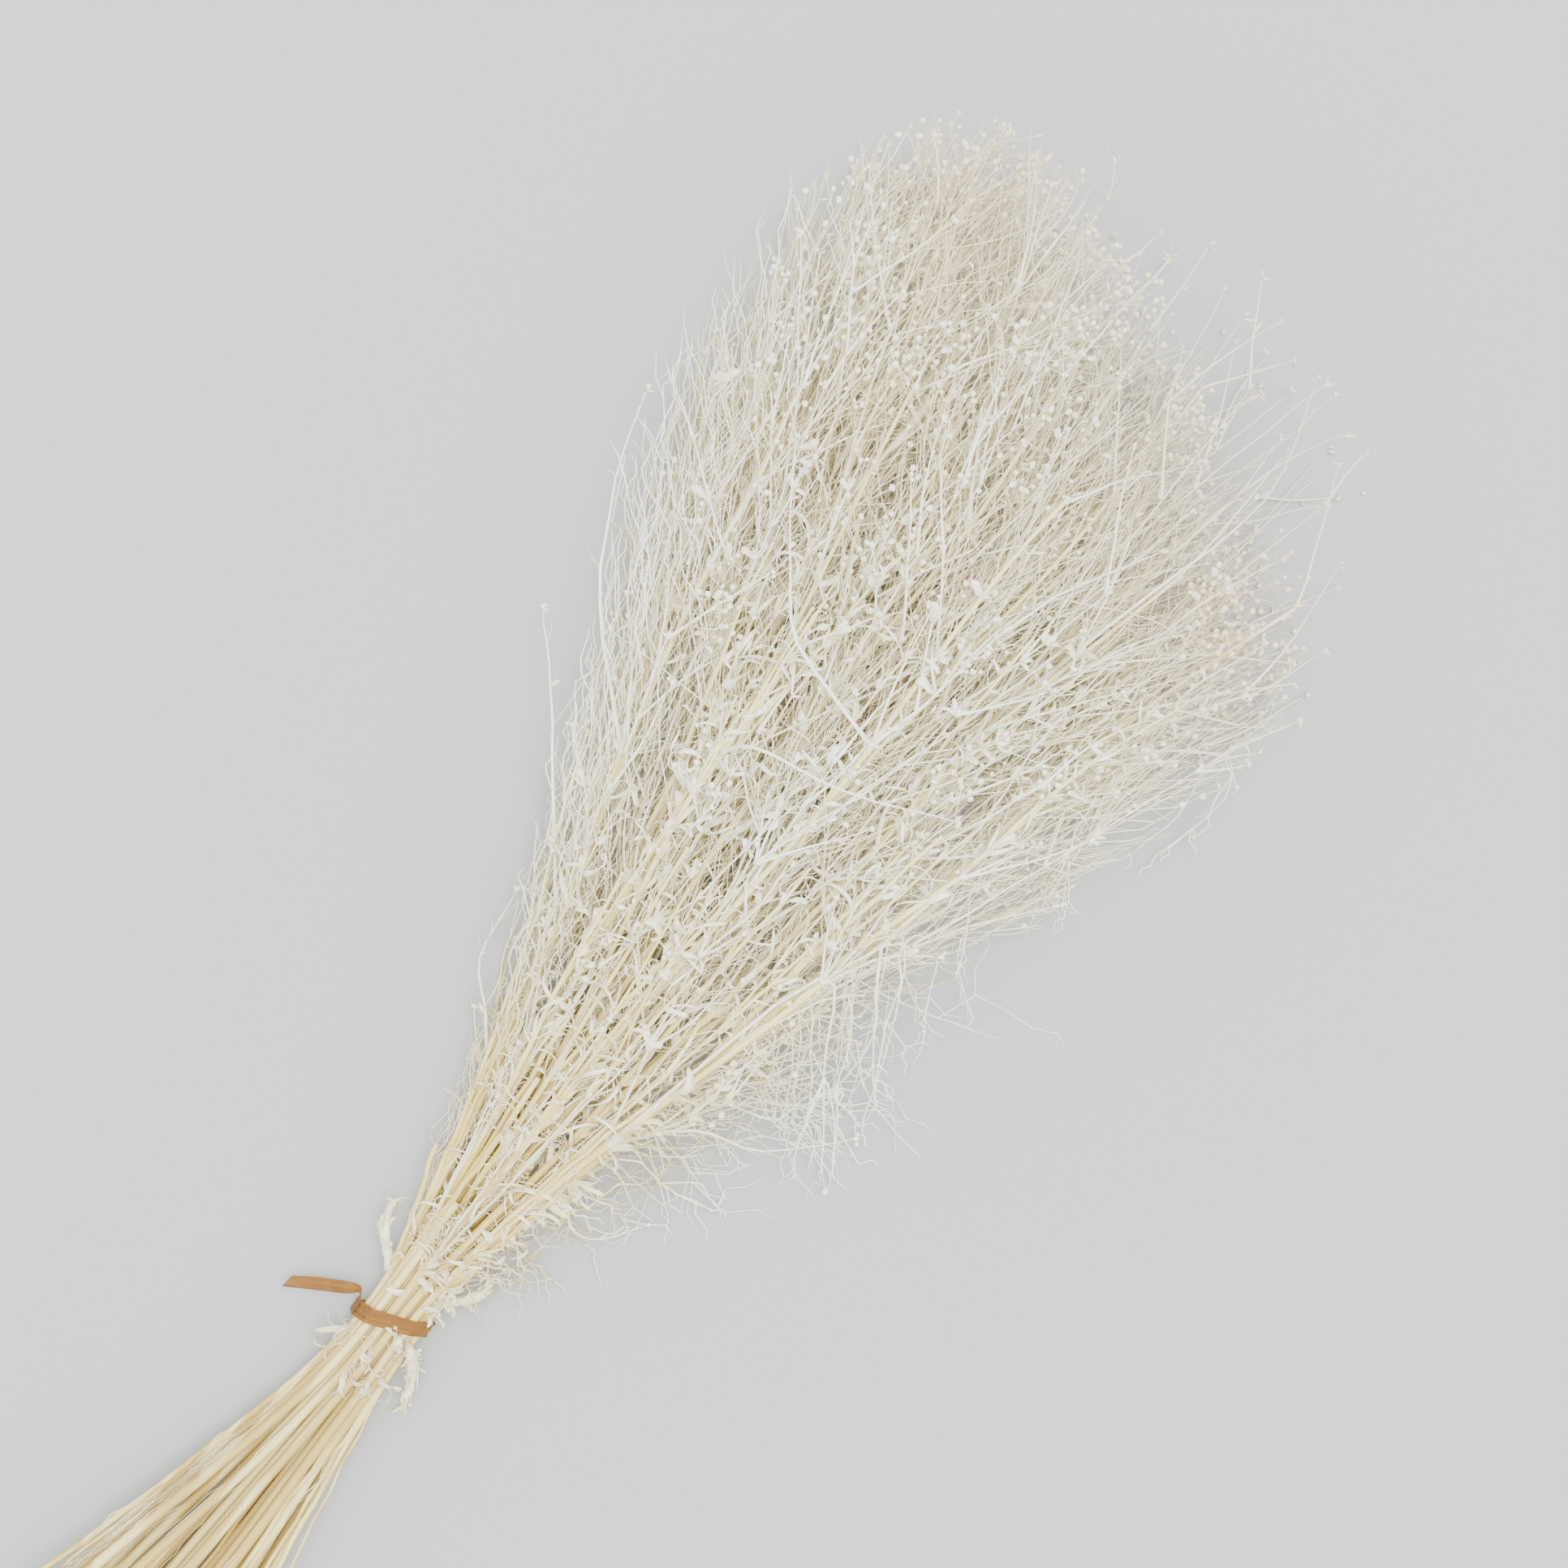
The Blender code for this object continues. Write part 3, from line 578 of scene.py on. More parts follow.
def from_low(least, reach, power):
    """A value from least up to reach more: the higher the power, the more often a low one."""
    return least + reach * rng.random() ** power


def leaning(way, *degrees):
    """A way that leans off this one by so many degrees, from least to most, to any side."""
    return turned(way, rng.uniform(*degrees), any_turn())


def sideways(way):
    """A way square to this one, to any side."""
    return turned(way, 90, any_turn())


def clamped(value):
    """The value, kept between 0 and 1."""
    return min(max(value, 0.0), 1.0)


def tapered(points, radius, tip):
    """A line of one thickness that ends in a finer tip."""
    return points, [radius] * (len(points) - 1) + [radius * tip]


def soft_line(points, radii, steps):
    """The same line as a soft curve through its points, with so many steps to a stretch."""
    soft, widths = [], []
    last = len(points) - 1
    for k in range(last):
        a, b, c, d = (points[min(max(k + j, 0), last)] for j in (-1, 0, 1, 2))
        for step in range(steps):
            t = step / steps
            bend = (c - a) * t + (2 * a - 5 * b + 4 * c - d) * t**2 + (3 * b - a - 3 * c + d) * t**3
            soft.append(b + bend / 2)
            widths.append(radii[k] + (radii[k + 1] - radii[k]) * t)
    return soft + [points[-1]], widths + [radii[-1]]


def softened(points, steps):
    """The points alone of such a soft curve."""
    return soft_line(points, [0.0] * len(points), steps)[0]


def stem_line(plant):
    """The main stem as a close row of points, a little swollen at each joint."""
    spacing, swell_length, swell_share, uneven_share, uneven_rate = 0.0028, 0.0022, 0.34, 0.05, 160
    length = plant.top - plant.cut
    count = math.ceil(length / spacing)
    points, radii = [], []
    for k in range(count + 1):
        y = plant.cut + length * k / count
        swell = sum(math.exp(-(((y - joint) / swell_length) ** 2)) for joint in set(plant.joints))
        uneven = uneven_share * noise.noise(Vector((plant.number * 3.1, y * uneven_rate, 0.5)))
        points.append(plant.at(y))
        radii.append(stem_radius(y) * (1 + swell_share * swell + uneven))
    return points, radii


def limb_line(rod):
    """A branch or twig without its bud, softly bowed, with a thicker foot and fine tip."""
    bow_share, foot_share, wander, wander_rate = 0.05, 1.5, 0.0007, 75
    finest, finer_in_haze = 0.34, 0.35
    points, radii = rod[0][:-2], rod[1][:-2]
    if len(points) == 2:
        bow = (points[1] - points[0]).length * bow_share
        middle = (points[0] + points[1]) / 2 + sideways(fan_direction(points[0])) * bow
        points, radii = [points[0], middle, points[1]], [radii[0], sum(radii) / 2, radii[1]]
    tip_share = finest * (1 - finer_in_haze * sparseness(points[-1]))
    radii = [radius * (1 + (tip_share - 1) * k / (len(radii) - 1)) for k, radius in enumerate(radii)]
    soft, widths = soft_line(points, radii, 4)
    for point in soft[1:-1]:
        point += noise.noise_vector(point * wander_rate) * wander
    widths[0] *= foot_share
    return soft, widths


def dome_height(point):
    """How high the bunch stands at this place on the surface."""
    ahead = max(point.y, 0.0)
    half_width = min(HEAD_START_HALF_WIDTH + HEAD_FLARE * ahead, HEAD_HALF_WIDTH)
    share = (point.x - HEAD_MIDDLE_X) / half_width
    return (HEAD_START_HEIGHT + HEAD_CLIMB * ahead) * (1 - HEAD_SIDE_DROP * share**2)


def fine_room(point):
    """How far inside the outline of the finest growth a point is."""
    left, right = np.interp(point.y, *LEFT_EDGE), np.interp(point.y, *RIGHT_EDGE)
    top = np.interp(point.x, *TOP_EDGE)
    height = max(dome_height(point), LEAST_HEIGHT)
    return min(point.x - left, right - point.x, top - point.y, height - point.z)


def outward(point):
    """How far a point lies towards the upper right of the head."""
    return OUTWARD_LEAN * point.x + point.y


def thinness(point):
    """How sparse the growth is: 0 in most of the head, up to 1 at its upper right."""
    return clamped((outward(point) - THIN_FROM) / THIN_DEPTH)


def sparseness(point):
    """How far out in the thin haze at the upper right a point is: 0 in the head, 1 in the haze."""
    return clamped((outward(point) - np.interp(point.x, *HAZE_EDGE)) / HAZE_DEPTH + HAZE_START)


def settled(point):
    """The point, or the one just above the surface where it would dip below."""
    return Vector((point.x, point.y, max(point.z, LOWEST_Z)))


def grow_cyme(spray, base, heading, length, radius, level, margin):
    """A thread that forks again and again, as the flower heads of this plant do."""
    pull, cut_short, least_bowed, thinner = 0.14, 0.35, 0.006, 0.82
    middle_share, knot_share, tip_share = 0.85, 1.3, 0.5
    points, radii = [base], [radius]
    while True:
        heading = (heading + pull * fan_direction(base)).normalized()
        end = settled(base + heading * length)
        if fine_room(end) < margin + EDGE_SOFTNESS * sparseness(end):
            end = settled(base + heading * length * cut_short)
            level = 0
        if level or length > least_bowed:
            bow = sideways(heading) * length * rng.uniform(*CYME_KNOT.bow)
            points.append(settled((base + end) / 2 + bow))
            radii.append(radius * middle_share)
        points.append(end)
        radii.append(radius * (knot_share if level else tip_share))
        if level == 0:
            spray.tips.append((end, (end - points[-2]).normalized()))
            break
        for _ in range(rng.choice((1, 1, 1, 2))):
            side = leaning(heading, *CYME_KNOT.fork_lean)
            shorter = length * rng.uniform(*CYME_KNOT.fork_stretch)
            grow_cyme(spray, end, side, shorter, radius * thinner, level - 1, margin)
        heading = leaning(heading, *CYME_KNOT.lean)
        length *= rng.uniform(*CYME_KNOT.stretch)
        radius *= thinner
        level -= 1
        base = end
    spray.threads.append((points, radii))


def grow_sprig(spray, base, heading, length, radius, forks):
    """A white side twig, kinked and forked at its knots. Returns where threads may grow."""
    pull, knot_length, least_room, thinner = 0.10, 0.0010, 0.002, 0.88
    foot_share, knot_share, tip_share, thinning, most_sparse = 1.2, 1.6, 0.5, 0.4, 0.8
    knots = rng.choice((2, 2, 3))
    points, radii, places = [base], [radius * foot_share], []
    for k in range(knots):
        heading = leaning(heading, *SPRIG_KNOT.lean)
        heading = (heading + pull * fan_direction(points[-1])).normalized()
        end = settled(points[-1] + heading * length * rng.uniform(*SPRIG_KNOT.stretch))
        if fine_room(end) < least_room or sparseness(end) > most_sparse * rng.random():
            break
        bow = sideways(heading) * length * rng.uniform(*SPRIG_KNOT.bow)
        thin = radius * (1 - thinning * (k + 0.5) / knots)
        points += [settled((points[-1] + end) / 2 + bow), end - heading * knot_length, end]
        radii += [thin, thin, thin * knot_share]
        places.append((end, heading))
        spray.knots.append((end, heading))
        if forks:
            side = leaning(heading, *SPRIG_KNOT.fork_lean)
            shorter = length * rng.uniform(*SPRIG_KNOT.fork_stretch)
            places += grow_sprig(spray, end, side, shorter, thin * thinner, forks - 1)
    if places:
        radii[-1] = radius * tip_share
        spray.sprigs.append((points, radii))
    return places


def wavy(base, heading, length, steps, wave, pull):
    """A long thread that wavers as it runs with the bunch."""
    points = [base]
    for _ in range(steps):
        heading = leaning(heading, 0, wave)
        heading = (heading + pull * fan_direction(points[-1])).normalized()
        ahead = settled(points[-1] + heading * length / steps)
        if fine_room(ahead) < 0:
            break
        points.append(ahead)
    return points


def zigzag(base, heading, length, steps, droop):
    """A brittle wisp that turns sharply at every knot."""
    swing, rise, stretch = (0.15, 0.75), 0.25, (0.6, 1.4)
    points, flip = [base], rng.choice((-1, 1))
    side = Vector((-heading.y, heading.x, 0)).normalized()
    for _ in range(steps):
        way = heading + side * flip * picked(swing) + Vector((0, 0, rng.uniform(-droop, rise)))
        points.append(settled(points[-1] + way.normalized() * length / steps * picked(stretch)))
        flip *= rng.choice((-1, -1, 1))
    return points


def twisted(points, across, twist):
    """The way across a leaf at each of its points, turning as the leaf dries."""
    uneven, uneven_rate = 0.5, 180
    sides = []
    for k, point in enumerate(points):
        along = points[min(k + 1, len(points) - 1)] - points[max(k - 1, 0)]
        angle = twist * (k / (len(points) - 1)) ** 2 + uneven * noise.noise(point * uneven_rate)
        sides.append((Quaternion(along.normalized(), angle) @ across).normalized())
    return sides


def curl(base, heading, length, form):
    """A line that rolls up as it goes: its points and, at each, the way across it."""
    steps, bend, twist = form.steps, picked(form.bend), picked(form.twist)
    across = sideways(heading)
    points, sides = [base], [across]
    for k in range(steps):
        heading = Quaternion(across, bend / steps * (2 * k / steps)) @ heading
        across = Quaternion(heading, twist / steps) @ across
        points.append(settled(points[-1] + heading * length / steps))
        sides.append(across)
    return points, sides


class Spray:
    """The fine pieces of one spray, as they are grown."""

    def __init__(self, plant):
        self.plant, self.at, self.ahead = plant, plant.at, plant.ahead
        self.limbs = [limb_line(rod) for rod in plant.branches + plant.twigs]
        self.risers, self.sprigs, self.knots = [], [], []
        self.threads, self.tips, self.leaves = [], [], []

    def grow(self):
        """Sprigs on the limbs, forked threads on both, then the small leaves and hairs."""
        bare_below, bare_fade, bare_in_haze = 0.125, 0.12, 0.96
        feet, places = self.feet(), []
        for _ in range(SPRIG.count):
            base, ahead = max(rng.sample(feet, 4), key=lambda foot: foot[0].z)
            heading = leaning(ahead, *SPRIG.lean)
            places += grow_sprig(self, base, heading, picked(SPRIG.length), SPRIG.radius, forks=2)
        for base, heading in places[::2]:
            self.add_cyme(base, heading, level=1)
        for _ in range(CYME.count):
            base, ahead = rng.choice(feet)
            if rng.random() > max(bare_in_haze * sparseness(base), (bare_below - base.y) / bare_fade):
                self.add_cyme(base, ahead, rng.choice((2, 2, 3)))
        for _ in range(LONG_THREAD.count):
            base, ahead = rng.choice(feet)
            heading = leaning(ahead, *LONG_THREAD.lean)
            points = wavy(base, heading, picked(LONG_THREAD.length), steps=7, wave=9, pull=0.10)
            if len(points) > 3 and rng.random() > sparseness(points[-1]):
                radius = LONG_THREAD.radius * rng.uniform(0.8, 1.4)
                self.threads.append(tapered(points, radius, tip=0.4))
        self.add_scales()
        self.add_curls()
        self.add_tufts()

    def feet(self):
        """Places along the stem and the limbs where finer things may grow."""
        feet = []
        y, spacing = 0.075, 0.006
        while y < self.plant.top:
            feet.append((self.at(y), self.ahead(y)))
            y += spacing
        for points, _ in self.limbs:
            for k in range(2, len(points)):
                feet.append((points[k], (points[k] - points[k - 1]).normalized()))
        return feet

    def add_cyme(self, base, ahead, level):
        """A forked thread, shorter of reach near the edge and finer at the upper right."""
        heading = leaning(ahead, *CYME.lean)
        length = picked(CYME.length)
        radius = CYME.radius * rng.uniform(0.8, 1.25) * (1 - 0.55 * thinness(base))
        margin = EDGE_SOFTNESS * rng.random() * (1 + sparseness(base))
        grow_cyme(self, base, heading, length, radius, level, margin)

    def add_scales(self):
        """Small pointed scales at each joint and knot, and rags along what shows on top."""
        shown_from, shown_to, least_room, rag_feet = 0.06, 0.24, 0.004, slice(None, 36, 5)
        for y in set(self.plant.joints):
            for _ in range(3):
                self.add_scale(self.at(y), self.ahead(y), JOINT_SCALE)
        for points, _ in self.limbs:
            for k in range(4, len(points), 4):
                self.knots.append((points[k], (points[k] - points[k - 1]).normalized()))
        for base, way in self.knots:
            self.add_scale(base, way, KNOT_SCALE)
        showing = [foot for foot in self.feet() if shown_from < foot[0].y < shown_to]
        showing = [foot for foot in showing if fine_room(foot[0]) > least_room]
        for base, way in sorted(showing, key=lambda foot: dome_height(foot[0]) - foot[0].z)[rag_feet]:
            for _ in range(4):
                self.add_rag(base, way, RAG)

    def add_scale(self, base, ahead, form):
        """A pointed scale, rolled back a little."""
        length = picked(form.length)
        points, sides = curl(base, leaning(ahead, *form.lean), length, form)
        self.leaves.append((points, sides, length * rng.uniform(0.12, 0.22), "scale"))

    def add_rag(self, base, ahead, form):
        """A torn papery flake."""
        heading, length = leaning(ahead, *form.lean), picked(form.length)
        points, sides = curl(base, heading, length, form)
        self.leaves.append((points, sides, length * rng.uniform(0.10, 0.20), "rag"))

    def add_shreds(self, base, heading, length):
        """A torn papery sheath: narrow crumpled strips from one place."""
        for _ in range(3):
            way = leaning(heading, *SHRED.lean)
            points, sides = curl(base, way, length * picked(SHRED.length), SHRED)
            self.leaves.append((points, sides, rng.uniform(0.0004, 0.0010), "shred"))

    def add_curls(self):
        """Long dry leaves that have rolled up, on the lower joints and between them."""
        for _ in range(ROLLS_PER_SPRAY):
            y = from_low(0.012, 0.190, power=1.1)
            if y < self.plant.top:
                self.add_curl(self.at(y), self.ahead(y))

    def add_curl(self, base, ahead):
        """One long dry leaf, rolled up."""
        heading = leaning(ahead, *ROLL.lean)
        points, sides = curl(base, heading, picked(ROLL.length), ROLL)
        if all(fine_room(point) > 0 for point in points):
            self.leaves.append((points, sides, from_low(0.00028, 0.0006, power=2), "curl"))

    def add_tufts(self):
        """Tufts of short curly hairs round the joints, and more of them low on the bunch."""
        for _ in range(TUFTS_PER_SPRAY):
            y = min(from_low(0.016, 0.180, power=1.3), self.plant.top)
            base, ahead = self.at(y), self.ahead(y)
            for _ in range(HAIRS_IN_TUFT):
                heading = leaning(ahead, *HAIR.lean)
                points, _ = curl(base, heading, picked(HAIR.length), HAIR)
                if all(fine_room(point) > 0 for point in points):
                    self.threads.append(tapered(points, HAIR_RADIUS * rng.uniform(0.8, 1.3), tip=0.5))

    def add_wisp(self, points, length):
        """A wisp through these points, with shorter ones forking off it at its kinks."""
        fork_chance, fork_share = 0.75, 0.7
        thick = WISP_RADIUS * rng.uniform(0.55, 1.05)
        self.sprigs.append(kinked(points, thick))
        for before, point in zip(points[1:], points[2:]):
            if rng.random() < fork_chance:
                side = leaning((point - before).normalized(), 20, 60)
                twig = zigzag(point, side, length * rng.uniform(0.2, 0.45), steps=3, droop=0.4)
                self.sprigs.append(kinked(twig, thick * fork_share))

    def add_grown_leaves(self):
        """The leaves of the solid, thin and twisted. Those by the tie are torn into husks."""
        strand_width, strand_spread = 0.00055, 1.1
        for points, across in self.plant.leaves:
            is_husk = points[0].y < FIRST_JOINT[0] / 2
            kind, width = ("husk", 0.6) if is_husk else ("lance", 0.8)
            points = softened(points, steps=4)
            sides = twisted(points, across, rng.uniform(-1.0, 1.0))
            self.leaves.append((points, sides, LEAF_HALF_WIDTH * width, kind))
            if not is_husk:
                continue
            for edge in (-1, 1):
                apart = LEAF_HALF_WIDTH * strand_spread * edge / len(points)
                frayed = [point + side * apart * k for k, (point, side) in enumerate(zip(points, sides))]
                self.leaves.append((frayed, sides, strand_width, "curl"))
            for k in range(1, len(points) - 1, 2):
                way = leaning((points[k + 1] - points[k]).normalized(), 4, 28)
                self.add_shreds(points[k - 1], way, rng.uniform(0.004, 0.009))


def kinked(points, radius):
    """A thin line with a small swelling at every point."""
    knot_from, knot_to, knot_share, tip_share, thinning = 0.15, 0.88, 1.45, 0.35, 0.5
    line, radii = [points[0]], [radius]
    for k, (start, end) in enumerate(zip(points, points[1:])):
        thin = radius * (1 - thinning * (k + 1) / len(points))
        line += [start.lerp(end, knot_from), start.lerp(end, knot_to), end]
        radii += [thin, thin, thin * knot_share]
    radii[-1] = radius * tip_share
    return line, radii


def beside(plant, start, end, steps, drift, waver):
    """A line that leaves the stem at start and runs along beside it to end, drifting away."""
    waver_rate = 150
    points, key = [], Vector((rng.uniform(0, 9), 0, 0))
    for k in range(steps + 1):
        share = k / steps
        place = plant.at(start + (end - start) * share)
        sway = noise.noise_vector(place * waver_rate + key) * waver * min(1.0, 3 * share)
        points.append(settled(place + drift * share + sway))
    return points


def one_of_first(ranked, choices, power):
    """One of the first few of a ranked row, those in front most often."""
    return ranked[int(rng.random() ** power * choices)]


def from_side(sprays, y, way, choices):
    """One of the sprays whose stem runs furthest out to that side at y."""
    ranked = sorted(sprays.values(), key=lambda spray: -way * spray.at(y).x)
    return one_of_first(ranked, choices, power=2)


def nearest(sprays, place, y):
    """The spray whose stem, at y, is nearest to a place."""
    return min(sprays.values(), key=lambda spray: (spray.at(y) - place).length)


def add_drooping(sprays):
    """Twigs that hang back from the right side of the head towards the neck."""
    inset, root_height, steps, furthest = 0.008, 0.02, 6, 0.010
    fork_share, fork_radius = 0.28, 0.00016
    for _ in range(DROOPING):
        y = rng.uniform(0.105, 0.215)
        spray = from_side(sprays, y, way=1, choices=5)
        aim = Vector((np.interp(y, *RIGHT_EDGE) - inset, y, root_height))
        base = min(spray.feet(), key=lambda foot: (foot[0] - aim).length)[0]
        heading = Vector((rng.uniform(0.2, 0.62), -1.0, -0.32)).normalized()
        length = rng.uniform(0.016, 0.042)
        points = [base]
        for _ in range(steps):
            heading = leaning(heading, 2, 16)
            points.append(settled(points[-1] + heading * length / steps))
        if points[-1].x - np.interp(points[-1].y, *RIGHT_EDGE) < furthest:
            spray.sprigs.append(kinked(points, rng.uniform(0.00018, 0.00034)))
            for point in points[3:]:
                twig = zigzag(point, leaning(heading, 15, 70), length * fork_share, steps=3, droop=0.4)
                spray.sprigs.append(kinked(twig, fork_radius))


def add_wisps(sprays):
    """Wisps down the right side of the neck and of the lower head, where the bunch frays."""
    for _ in range(WISPS):
        y = from_low(0.014, 0.125, power=0.9)
        spray = from_side(sprays, y, way=1, choices=6)
        heading = Vector((0.9, rng.uniform(-0.35, 1.1), -0.22)).normalized()
        reach = np.interp(y, *RIGHT_EDGE) + 0.1 * y - spray.at(y).x
        length = max(reach, LEAST_REACH) * rng.uniform(0.6, 1.15)
        points = zigzag(spray.at(y), heading, length, rng.choice((4, 5, 6)), droop=0.5)
        spray.add_wisp(points, length)
    root_below, fork_length, wander, wander_rate, apart = 0.02, 0.022, 0.0016, 210, 900
    for passes in FRINGE * 3:
        shift = Vector((rng.gauss(0, 0.003), rng.gauss(0, 0.005), 0))
        passes = [Vector(point) + shift for point in passes]
        y = passes[0].y - root_below
        spray = nearest(sprays, passes[0], y)
        root = spray.at(y)
        points = [
            settled(point + noise.noise_vector(point * wander_rate + shift * apart) * wander)
            for point in softened([root, *passes], steps=3)[1:]
        ]
        spray.add_wisp([root, *points], fork_length)


def add_risers(sprays):
    """Long pale twigs that climb from the neck to the top of the head and fork on the way."""
    for spray in sprays.values():
        start, length = rng.uniform(0.020, 0.100), rng.uniform(0.080, 0.140)
        grow_riser(spray, start, length, rng.uniform(0.0007, 0.0011), Vector(), forks=1)


def grow_riser(spray, start, length, radius, offset, forks):
    """One such twig: beside the stem, but up to the top of the dome at its end."""
    steps, highest_end, most_sparse, wander, wander_rate = 8, 0.30, 0.1, 0.0026, 45
    thinning, fork_length, fork_thickness = 0.6, 0.6, 0.8
    end = min(start + length, highest_end)
    far = spray.at(end) + offset
    aside = Vector((rng.uniform(-0.016, 0.016), 0, 0))
    aside.z = max(dome_height(far + aside) - far.z, 0) * rng.uniform(0.6, 0.97)
    points, radii, key = [], [], Vector((rng.uniform(0, 9), 0, 0))
    for k in range(steps + 1):
        share = k / steps
        place = spray.at(start + (end - start) * share) + offset + aside * share
        sway = noise.noise_vector(place * wander_rate + key) * wander * share
        points.append(settled(place + sway))
        radii.append(radius * (1 - thinning * share))
    if fine_room(points[-1]) < 0 or sparseness(points[-1]) > most_sparse:
        return
    spray.risers.append((points, radii))
    ways = [(after - point).normalized() for point, after in zip(points, points[1:])]
    for point, way in zip(points[2:steps], ways[2:]):
        for _ in range(2):
            spray.add_curl(point, way)
        spray.add_rag(point, way, RISER_RAG)
    if forks:
        k = rng.choice((3, 4, 5))
        spray.knots.append((points[k], ways[k]))
        reach = start + (end - start) * k / steps
        apart = points[k] - spray.at(reach)
        grow_riser(spray, reach, length * fork_length, radii[k] * fork_thickness, apart, forks - 1)


def add_haze(sprays):
    """Long wavering threads down the left side, finer ones by the neck and along the tail."""
    for _ in range(VEIL_THREADS):
        y = rng.uniform(0.040, 0.215)
        end = y + rng.uniform(0.040, 0.090)
        spray = from_side(sprays, y, way=-1, choices=7)
        inset = from_low(np.interp(end, *LEFT_EDGE), 0.022, power=1.7)
        drift = Vector((inset - spray.at(end).x, 0, rng.uniform(-0.004, 0.014)))
        veil_line(spray, y, end, drift, steps=20, waver=0.0042, radii=(0.00009, 0.00021))
    for _ in range(NECK_THREADS):
        y = rng.uniform(0.010, 0.070)
        spray = from_side(sprays, y, way=-1, choices=5)
        drift = Vector((-rng.uniform(0.001, 0.009), 0, rng.uniform(-0.002, 0.003)))
        end = y + rng.uniform(0.018, 0.045)
        veil_line(spray, y, end, drift, steps=10, waver=0.0045, radii=(0.00008, 0.00013))
    for _ in range(TAIL_THREADS):
        y = rng.uniform(-0.055, -0.006)
        spray = from_side(sprays, y, rng.choice((-1, -1, 1)), choices=9)
        drift = Vector((-rng.uniform(-0.002, 0.006), 0, rng.uniform(0.0015, 0.005)))
        end = max(y - rng.uniform(0.03, 0.09), -0.132)
        veil_line(spray, y, end, drift, steps=10, waver=0.0022, radii=(0.00008, 0.00020))


def veil_line(spray, start, end, drift, steps, waver, radii):
    """A thin line beside the stem, from start to end, that runs out to a finer tip."""
    points = beside(spray.plant, start, end, steps, drift, waver)
    spray.sprigs.append(tapered(points, rng.uniform(*radii), tip=0.3))


def add_canes(sprays):
    """Thin cut canes that lie over the stems of the tail and of the neck."""
    steps, waver = 12, 0.0010
    for k in range(CANES):
        ends = (-0.0055, -rng.uniform(0.05, 0.134)) if k % 2 else (0.0065, rng.uniform(0.04, 0.11))
        spray = from_side(sprays, ends[0], rng.choice((-1, 1)), choices=12)
        drift = Vector((rng.uniform(-0.007, 0.007), 0, rng.uniform(0.0010, 0.0045)))
        points = beside(spray.plant, *ends, steps, drift, waver)
        spray.risers.append(tapered(points, rng.uniform(0.00035, 0.00085), tip=0.8))


def add_sheaths(sprays):
    """Torn papery sheaths that lie crosswise over the stems round the tie."""
    top_of_neck, scatter, rise = 0.0128, 0.003, 0.25
    lift = Vector((0, 0, STEM_NECK_RADIUS * 0.8))
    for (x, y), count in SHEATHS:
        for _ in range(count):
            across, ahead = rng.gauss(0, scatter), rng.gauss(0, 0.002 + 0.1 * abs(y))
            place = Vector((x + across, y + ahead, top_of_neck))
            spray = nearest(sprays, place, place.y)
            way = Vector((rng.uniform(-0.4, 1.0), rng.uniform(-0.5, 0.9) * math.copysign(1, y), rise))
            base = spray.at(place.y) + lift
            spray.add_shreds(base, way.normalized(), rng.uniform(0.005, 0.0105))


def dress_neck(sprays):
    """What lies over the stems by the tie: thin twigs, curls, tufts and papery leaves."""
    twigs_to, rolls_to, sheaths_to, first_tufts_to, tufts_to = 28, 100, 122, 150, 190
    for k in range(tufts_to):
        y = rng.uniform(-0.016, -0.0045) if k % 9 == 8 else rng.uniform(0.007, 0.088)
        ranked = sorted(sprays.values(), key=lambda spray: -spray.at(y).z)
        spray = one_of_first(ranked, choices=16 if k > first_tufts_to else 12, power=1.5)
        base, ahead = spray.at(y), spray.ahead(y)
        heading = leaning(ahead, 15, 60)
        heading = Vector((heading.x, math.copysign(heading.y, y), abs(heading.z))).normalized()
        if k < twigs_to and 0 < y < 0.04:
            heading = leaning(ahead, 3, 9)
            points = wavy(base, heading, rng.uniform(0.05, 0.11), steps=8, wave=5, pull=0.02)
            if len(points) > 3:
                spray.sprigs.append(kinked(points, SPRIG.radius * rng.uniform(0.7, 1.1)))
        elif k < rolls_to:
            points, sides = curl(base, heading, picked(NECK_ROLL.length), NECK_ROLL)
            spray.leaves.append((points, sides, rng.uniform(0.0003, 0.0007), "curl"))
        elif k < sheaths_to:
            spray.add_shreds(base, heading, rng.uniform(0.007, 0.014))
        else:
            for _ in range(HAIRS_IN_NECK_TUFT):
                way = leaning(heading, *NECK_HAIR.lean)
                points, _ = curl(base, way, picked(NECK_HAIR.length), NECK_HAIR)
                spray.threads.append(tapered(points, HAIR_RADIUS, tip=0.5))


# Meshes


def placed(name, data):
    """An object of this data, put in the scene."""
    made = bpy.data.objects.new(name, data)
    bpy.context.scene.collection.objects.link(made)
    return made


def section_curve(sides):
    """The outline that a strand is drawn with: a polygon of radius 1."""
    curve = bpy.data.curves.new(f"section_{sides}", "CURVE")
    curve.dimensions = "2D"
    spline = curve.splines.new("POLY")
    spline.points.add(sides - 1)
    for k, place in enumerate(spline.points):
        angle = 2 * math.pi * k / sides
        place.co = (math.cos(angle), math.sin(angle), 0, 1)
    spline.use_cyclic_u = True
    return bpy.data.objects.new(f"section_{sides}", curve)


